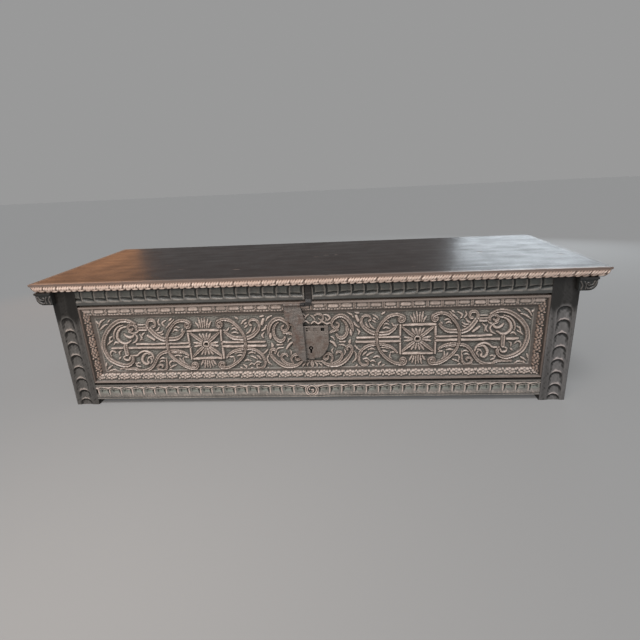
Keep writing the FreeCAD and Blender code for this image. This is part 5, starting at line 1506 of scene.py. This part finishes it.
@dataclass
class Lid:
    """The polished lid: a wide board, a front strip and a carved edge on three sides."""

    effects: Effects
    lip: float = 7 * MM
    lip_step: float = 3 * MM
    recess: float = 13 * MM
    seam: float = 0.5 * MM
    strip_depth: float = 45 * MM
    overlap: float = 2 * MM
    pitch: float = 41 * MM
    depth: float = 2.5 * MM
    lean: float = 0.55
    step: float = 5 * MM
    worn_depth: float = 0.3 * MM
    worn_most: float = 1 * MM
    sound_edge: float = 20 * MM
    scar_depth: float = 1.2 * MM
    wave: Unevenness = Unevenness(41, 0.16, 0.22 * MM)
    edge_tone: float = 0.06
    flat_tone: float = 0.38
    scars: tuple[tuple[float, float, float], ...] = (
        (772, 194, 7), (-488, 225, 5), (-420, 160, 6), (-231, 130, 7), (7, 295, 5), (40, 320, 6),
        (75, 322, 5), (553, 283, 7), (-120, 330, 4), (310, 96, 4), (-300, 480, 5), (180, 520, 5),
        (-60, 540, 4))

    def edge(self, origin: Sequence[float], along: Vector, inward: Vector, length: float,
             mitres: tuple[float, float]) -> EdgeCarving:
        """One run of the lid's carved edge, measured down from its top.

        Args:
            origin: Start of the run on the top edge.
            along: Direction of the run.
            inward: Direction in from the edge.
            length: Length of the run.
            mitres: 1 at an end that meets another run, else 0.

        Returns:
            The run, ready to add to a shell.
        """
        box = Bounds.of("lid_board")
        thick = box.high.z - box.low.z
        slope = self.recess - self.lip_step

        def profile(down: np.ndarray) -> np.ndarray:
            share = np.clip((down - self.lip) / (thick - self.lip), 0, 1)
            curve = self.lip_step + slope * share - 0.3 * slope * np.sin(share * math.pi)
            return np.where(down <= self.lip, 0.0, -curve)

        behind = -self.recess - self.overlap
        leaves = domes(ACANTHUS, self.pitch, thick, self.depth, self.lip, self.lean)
        return EdgeCarving(Vector(origin), along, Vector((0, 0, -1)), -inward, length, profile, thick,
                           ((thick, behind), (0.0, behind)), leaves, mitres, self.lip, self.edge_tone,
                           recessed=True)

    def build(self) -> None:
        """Build the board, the strip and their carved edges."""
        board, strip = Bounds.of("lid_board"), Bounds.of("lid_front_strip")
        top, foot = board.high.z, board.low.z
        left, right, front, back = board.low.x, board.high.x, strip.low.y, board.high.y
        joint = front + self.strip_depth
        inset = self.recess
        x, y = Vector((1, 0, 0)), Vector((0, 1, 0))
        polish = POLISHED.material(self.effects, Grain.ALONG_X)
        # The front edge takes the very pale finish: partly wear, partly painted light.
        pale, dull = LID_EDGE_LIT_WOOD.material(self.effects, Grain.ALONG_X), DULL.material(self.effects, Grain.ALONG_Y)

        strip_end = joint - self.seam
        of_strip, of_board = ("lid_front_strip", "wood_carved"), ("lid_board", "wood_lid")
        runs = [("lid_front_edge", (left, front, top), x, y, right - left, (1.0, 1.0), of_strip, pale)]
        for side, x_end, inward in ((Side.LEFT, left, x), (Side.RIGHT, right, -x)):
            runs += [(f"lid_strip_end_{side.word}", (x_end, front, top), y, inward, strip_end - front,
                      (1.0, 0.0), of_strip, dull),
                     (f"lid_board_end_{side.word}", (x_end, joint, top), y, inward, back - joint, (0.0, 0.0),
                      of_board, dull)]
        for name, origin, along, inward, length, mitres, (node, slot), finish in runs:
            shell = Shell(name)
            self.edge(origin, along, inward, length, mitres).add_to(shell)
            shell.build("lid", node, slot, finish)
        for name, low_y, high_y, (node, slot) in (("lid_strip_flat", front + inset, strip_end, of_strip),
                                                  ("lid_board_flat", joint, back, of_board)):
            shell = Shell(name)
            self.flat(shell, (left + inset, low_y), (right - inset, high_y), foot, top)
            shell.build("lid", node, slot, polish)

    def flat(self, shell: Shell, low: tuple[float, float], high: tuple[float, float], foot: float,
             top: float) -> None:
        """A board's flat, a little worn and scarred on top.

        Args:
            shell: What it is added to.
            low: Lowest corner in plan.
            high: Highest corner in plan.
            foot: Underside.
            top: Top side.
        """
        xs, ys = spaced(low[0], high[0], self.step), spaced(low[1], high[1], self.step)
        across, back = np.meshgrid(xs, ys, indexing="ij")
        wave = self.wave.at(across, back * 3)
        edge = np.minimum.reduce([across - low[0], high[0] - across, back - low[1], high[1] - back])
        worn_away = np.clip(self.worn_depth + wave, 0, self.worn_most)
        height = top - worn_away * smoothstep(0, self.sound_edge, edge)
        front = Bounds.of("lid_front_strip").low.y
        worn = np.full((len(xs), len(ys) + 2), self.flat_tone)
        for x, y, radius in self.scars:
            share = np.hypot((across - x * MM) * 0.35, back - front - y * MM) / (radius * MM)
            height -= self.scar_depth * np.exp(-share**2 * 3)
            worn[:, :-2] += np.exp(-share**2 * 3)
        rings = np.zeros((len(xs), len(ys) + 2, 3))
        rings[:, :, 0] = xs[:, None]
        rings[:, :-2, 1], rings[:, -2, 1], rings[:, -1, 1] = ys, ys[-1], ys[0]
        rings[:, :-2, 2], rings[:, -2:, 2] = height, foot
        shell.sweep(rings, np.full_like(worn, 0.5), np.clip(worn, 0, 1))


@dataclass
class Cleats:
    """The moulded cleats under the lid's ends, with a carved scroll on the front of each."""

    effects: Effects
    step: float = 1.2 * MM
    fillet: float = 6 * MM
    fillet_step: float = 2 * MM
    corner: float = 22 * MM
    gap: float = 1.5 * MM
    face_rise: float = 4 * MM
    ground_rise: float = 1 * MM
    length_step: float = 6 * MM
    contrast: float = 2.5 * MM
    full_level: float = 2.6 * MM
    rows: int = 34
    wobble: Unevenness = Unevenness(53, 0.03, 0.5 * MM)

    def scrolls(self, width: float) -> list[Stroke]:
        """The volutes on the front, in millimetres from the outer top corner.

        Args:
            width: Width of the front.

        Returns:
            The strokes.
        """
        wide = width / MM
        return [
            Stroke(((5, -12), (10, -24), (20, -31), (31, -30)), (6, 5), 2.6, Section.ROUND),
            Stroke(((10, -11), (15, -20), (24, -22)), (5, 4), 2.4, Section.ROUND, end=Curl(5.0, 0.9, 1)),
            Stroke(((wide - 6, -33), (wide - 9, -22), (wide - 4, -12)), (5, 5), 2.4, Section.ROUND),
            Stroke(((wide - 17, -33), (wide - 19, -22), (wide - 15, -13)), (4, 4), 2.2, Section.ROUND),
        ]

    def build(self, side: Side) -> None:
        """Build one cleat.

        Args:
            side: Which end.
        """
        box, post = Bounds.of(f"lid_cleat_{side.word}"), Bounds.of(f"stile_front_{side.word}")
        sign = side.value
        outer = box.high.x if sign > 0 else box.low.x
        case = post.high.x if sign > 0 else post.low.x
        inner = outer - sign * (box.high.x - box.low.x)
        behind = post.low.y - self.gap
        rise = self.face_rise
        shell = Shell(f"carved_cleat_{side.word}")
        self.length(shell, outer, case + sign * self.gap, sign, box.low, box.high, box.low.y + rise)
        xs = spaced(*sorted((outer - sign * self.fillet_step, inner)), self.step)
        share = np.linspace(0, 1, self.rows)
        reach = np.abs(outer - xs) - self.fillet_step
        drop = np.clip(1 - reach / self.corner, 0, 1)
        low = box.low.z + self.corner * (1 - half_round(drop))
        high = box.high.z - self.fillet
        zs = low[:, None] + share * (high - low[:, None])
        relief = Relief(xs, share, self.wobble)
        relief.u = np.abs(outer - xs)[:, None] + 0 * zs + self.wobble.at(relief.across, zs)
        relief.v = zs - box.high.z
        for stroke in self.scrolls(abs(outer - inner)):
            relief.carve(stroke)
        exposed = relief.exposure(self.contrast)
        level = np.clip(relief.height / self.full_level, 0, 1)
        face = box.low.y + rise - relief.height - self.ground_rise
        slab(shell, xs, zs, face, behind, level, exposed)
        shell.block((min(inner, outer), box.low.y, high), (max(inner, outer), behind, box.high.z))
        # The cleats take near-black wood as painted shade under the lid.
        finish = CLEAT_SHADE_WOOD.material(self.effects, Grain.ALONG_Y)
        shell.build("lid", f"lid_cleat_{side.word}", "wood_carved", finish)

    def length(self, shell: Shell, outer: float, inner: float, sign: int, low: Vector, high: Vector,
               front: float) -> None:
        """The moulded length outside the case.

        Args:
            shell: What it is added to.
            outer: Outer side.
            inner: Side next to the case.
            sign: Sign of X at this end.
            low: Lowest corner of the cleat.
            high: Highest corner of the cleat.
            front: Where the length starts.
        """
        edge = outer - sign * self.fillet_step
        angles = np.linspace(0, math.pi / 2, 12)
        curve = [(edge - sign * self.corner * (1 - math.cos(a)), low.z + self.corner * (1 - math.sin(a)))
                 for a in angles]
        outline = [(inner, high.z), (outer, high.z), (outer, high.z - self.fillet),
                   (edge, high.z - self.fillet - MM), *curve, (inner, low.z)]
        ys = spaced(front, high.y, self.length_step)
        wave = Unevenness(61 + sign, 0.12, 0.25 * MM)
        rings = np.array([[(x, y, z) for x, z in outline] for y in ys])
        rings[:, 3:-1, 0] += -sign * np.abs(wave.at(rings[:, 3:-1, 1], rings[:, 3:-1, 2]))
        shell.sweep(rings)


@dataclass
class Forging:
    """Turns plain solids into hammered, softened iron."""

    voxel: float = 0.8 * MM
    softening: int = 4
    dents: float = 0.25 * MM
    dent_size: float = 9 * MM
    seed: int = 71

    def beaten(self, name: str, node: str) -> bpy.types.Mesh:
        """Copy a node into a softened, dented mesh.

        Args:
            name: The mesh's name.
            node: The node to copy.

        Returns:
            The new mesh, inside the node's box.
        """
        copied = bmesh.new()
        copied.from_mesh(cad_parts[node].data)
        mesh = bpy.data.meshes.new(name)
        copied.to_mesh(mesh)
        copied.free()
        low, high = extent(mesh)
        helper = linked(f"{name}_helper", mesh)
        remesh = helper.modifiers.new("voxels", "REMESH")
        remesh.mode, remesh.voxel_size = "VOXEL", self.voxel
        soft = helper.modifiers.new("soften", "SMOOTH")
        soft.iterations, soft.factor = self.softening, 0.5
        result = bpy.data.meshes.new_from_object(helper.evaluated_get(bpy.context.evaluated_depsgraph_get()))
        bpy.data.objects.remove(helper)
        places, normals = np.zeros(len(result.vertices) * 3), np.zeros(len(result.vertices) * 3)
        result.vertices.foreach_get("co", places)
        result.vertices.foreach_get("normal", normals)
        places, normals = places.reshape(-1, 3), normals.reshape(-1, 3)
        dent = Unevenness(self.seed, self.dent_size, self.dents, 12)
        x, y, z = places.T
        places = np.clip(places + normals * dent.at(x + y * 0.7, z + y)[:, None], low, high)
        result.vertices.foreach_set("co", places.reshape(-1))
        result.name = name
        result.shade_smooth()
        result.set_sharp_from_angle(angle=SHARP_IRON)
        return result


def extent(mesh: bpy.types.Mesh) -> tuple[np.ndarray, np.ndarray]:
    """The lowest and highest corners of a mesh."""
    places = np.zeros(len(mesh.vertices) * 3)
    mesh.vertices.foreach_get("co", places)
    places = places.reshape(-1, 3)
    return places.min(0), places.max(0)


@dataclass
class Ironwork:
    """The lock, the hasp and the hinges, beaten from the plain solids."""

    effects: Effects
    forging: Forging = field(default_factory=Forging)
    bevel: float = 0.4 * MM
    pin_bevel: float = 0.5 * MM
    beaten_nodes: tuple[tuple[str, str], ...] = (
        ("case", "lock_plate"), ("case", "lock_plate_nails"), ("hasp", "hasp"), ("hasp", "hasp_staple"),
        ("lid", "hasp_strap"), ("lid", "hasp_pin"), ("lid", "hasp_strap_nails"),
        ("lid", "hinge_leaf_lid_left"), ("lid", "hinge_leaf_lid_right"), ("lid", "hinge_nails_lid"),
        ("case", "hinge_leaf_case_left"), ("case", "hinge_leaf_case_right"), ("case", "hinge_nails_case"),
        ("lid", "cleat_nails"))
    # Pieces under the lid or behind the lock plate take near-black iron as painted shade.
    shaded_iron_nodes: tuple[str, ...] = (
        "hasp_strap", "hasp_pin", "hasp_strap_nails", "hinge_nails_lid", "cleat_nails", "lock_case")

    def build(self) -> None:
        """Forge each piece and give the others their finish."""
        iron, dark = IRON.material(self.effects), SHADE_IRON.material(self.effects)
        finishes = {node: dark for node in self.shaded_iron_nodes} | {"hasp": HASP_IRON.material(self.effects)}
        for body, node in self.beaten_nodes:
            mesh = self.forging.beaten(f"forged_{node}", node)
            placed(mesh, f"forged_{node}", body, node, finishes.get(node, iron))
        for node in ("lock_case", "lock_bolt", "hinge_pin_left", "hinge_pin_right"):
            dress_node(node, finishes.get(node, iron), self.bevel)
        dress_node("key_pin", BRIGHT.material(self.effects), self.pin_bevel)


def dress_node(node: str, material: bpy.types.Material, bevel: float) -> None:
    """Give a node its finish and softened edges.

    Args:
        node: The node.
        material: Its finish.
        bevel: Width of its softened edges.
    """
    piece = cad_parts[node]
    piece.data.materials.clear()
    piece.data.materials.append(material)
    soft = piece.modifiers.new("worn_edges", "BEVEL")
    soft.width, soft.segments, soft.limit_method = bevel, 2, "ANGLE"


@dataclass
class PlainWork:
    """The plain boards, battens, rear posts and pegs."""

    effects: Effects
    boards: tuple[tuple[Grain, tuple[str, ...]], ...] = (
        (Grain.ALONG_Y, ("end_board_left", "end_board_right", "floor_batten_left", "floor_batten_right",
                         "tenon_pegs")),
        (Grain.ALONG_X, ("back_board", "bottom_board_front", "bottom_board_middle", "bottom_board_rear",
                         "floor_batten_front", "floor_batten_rear")),
        (Grain.ALONG_Z, ("stile_rear_left", "stile_rear_right")))
    bevel: float = 1.2 * MM

    def build(self) -> None:
        """Give each board its finish."""
        for grain, nodes in self.boards:
            for node in nodes:
                dress_node(node, PLAIN.material(self.effects, grain), self.bevel)


@dataclass
class Stage:
    """The floor, the light and the camera."""

    lens: float = 24.955
    sensor: float = 36.0
    place: tuple[float, float, float] = (130.0, -1517.3, 696.5)
    pitch: float = math.radians(18.827)
    yaw: float = math.radians(-4.563)
    roll: float = math.radians(2.829)
    floor_grey: float = 0.22
    floor_glow: float = 0.08
    background: float = 0.319
    ambient: float = 0.26

    def camera(self) -> None:
        """Set up the camera."""
        level = math.cos(self.pitch)
        forward = Vector((math.sin(self.yaw) * level, math.cos(self.yaw) * level, -math.sin(self.pitch)))
        right = Vector((math.cos(self.yaw), -math.sin(self.yaw), 0))
        down = forward.cross(right)
        across = math.cos(self.roll) * right + math.sin(self.roll) * down
        below = -math.sin(self.roll) * right + math.cos(self.roll) * down
        data = bpy.data.cameras.new("camera")
        data.lens, data.sensor_width, data.sensor_fit = self.lens, self.sensor, "HORIZONTAL"
        data.clip_start, data.clip_end = 0.05, 60
        camera = linked("camera", data)
        turn = Matrix((across, -below, -forward)).transposed().to_4x4()
        camera.matrix_world = Matrix.Translation(Vector(self.place) * MM) @ turn
        bpy.context.scene.camera = camera

    def floor(self) -> None:
        """Make the floor."""
        mesh = bpy.data.meshes.new("floor")
        reach = 14.0
        mesh.from_pydata([(-reach, -reach, 0), (reach, -reach, 0), (reach, reach, 0), (-reach, reach, 0)], [],
                         [(0, 1, 2, 3)])
        floor = linked("floor", mesh)
        material = bpy.data.materials.new("pale_floor")
        material.use_nodes = True
        Graph(material.node_tree).feed(material.node_tree.nodes["Principled BSDF"], {
            "Base Color": (self.floor_grey, self.floor_grey, self.floor_grey, 1), "Roughness": 0.9,
            "Specular IOR Level": 0.0, "Emission Color": (1, 1, 1, 1), "Emission Strength": self.floor_glow})
        mesh.materials.append(material)

    def surroundings(self) -> None:
        """Set the light from all round, and what the camera sees behind the object."""
        world = bpy.data.worlds.new("studio")
        bpy.context.scene.world = world
        world.use_nodes = True
        graph = Graph(world.node_tree)
        seen = graph.node("LightPath").outputs
        own = graph.math("MAXIMUM", seen["Is Camera Ray"], seen["Is Glossy Ray"])
        extra = graph.math("MULTIPLY", own, self.background - self.ambient)
        graph.feed(world.node_tree.nodes["Background"], {
            "Strength": graph.math("ADD", extra, self.ambient), "Color": (1, 1, 1, 1)})

    @staticmethod
    def lamp(name: str, place: Sequence[float], target: Sequence[float], size: tuple[float, float],
             power: float, colour: Colour) -> None:
        """Hang a soft lamp.

        Args:
            name: The lamp's name.
            place: Where it hangs.
            target: What it points at.
            size: Its width and height.
            power: Its power in watts.
            colour: Its colour.
        """
        data = bpy.data.lights.new(name, "AREA")
        data.shape, data.size, data.size_y, data.energy, data.color = "RECTANGLE", *size, power, colour
        lamp = linked(name, data)
        lamp.location = place
        lamp.rotation_euler = (Vector(target) - Vector(place)).to_track_quat("-Z", "Y").to_euler()

    @staticmethod
    def sky(name: str, towards: Sequence[float], strength: float, softness: float, colour: Colour) -> None:
        """Light everything alike from one direction.

        Args:
            name: The light's name.
            towards: Direction from the object to the light.
            strength: Its strength.
            softness: Its width in degrees.
            colour: Its colour.
        """
        data = bpy.data.lights.new(name, "SUN")
        data.energy, data.angle, data.color = strength, math.radians(softness), colour
        lamp = linked(name, data)
        lamp.rotation_euler = (-Vector(towards)).to_track_quat("-Z", "Y").to_euler()

    def build(self) -> None:
        """Set the stage."""
        bpy.context.scene.view_settings.view_transform = "Standard"
        self.camera()
        self.floor()
        self.surroundings()
        self.sky("overhead", (-0.2, -0.8, 1.35), 2.5, 24, (0.98, 0.99, 1.0))
        self.sky("front", (0.5, -1.0, 0.3), 0.4, 40, (0.85, 0.94, 1.0))
        self.lamp("front_window", (-0.50, -1.35, 0.95), (-0.15, -0.28, 0.24), (0.7, 0.5), 9,
                  (1.0, 0.85, 0.74))
        self.lamp("pale_window", (1.75, 2.6, 0.95), (0.6, 0.0, 0.4), (1.3, 0.8), 15, (0.84, 0.93, 1.0))
        self.lamp("warm_window", (-1.75, 1.3, 0.75), (-0.6, -0.1, 0.4), (0.9, 0.5), 2.2, (1.0, 0.38, 0.09))


def main() -> None:
    """Build every sub-assembly, then the stage."""
    logging.basicConfig(level=logging.INFO, format="%(name)s: %(message)s")
    effects = Effects()
    PanelCarving(effects).build()
    PanelFrame(effects).build()
    Rails(effects).build()
    posts, cleats = Posts(effects), Cleats(effects)
    for side in Side:
        posts.build(side)
        cleats.build(side)
    Lid(effects).build()
    Ironwork(effects).build()
    PlainWork(effects).build()
    Stage().build()


if __name__ == "__main__":
    main()
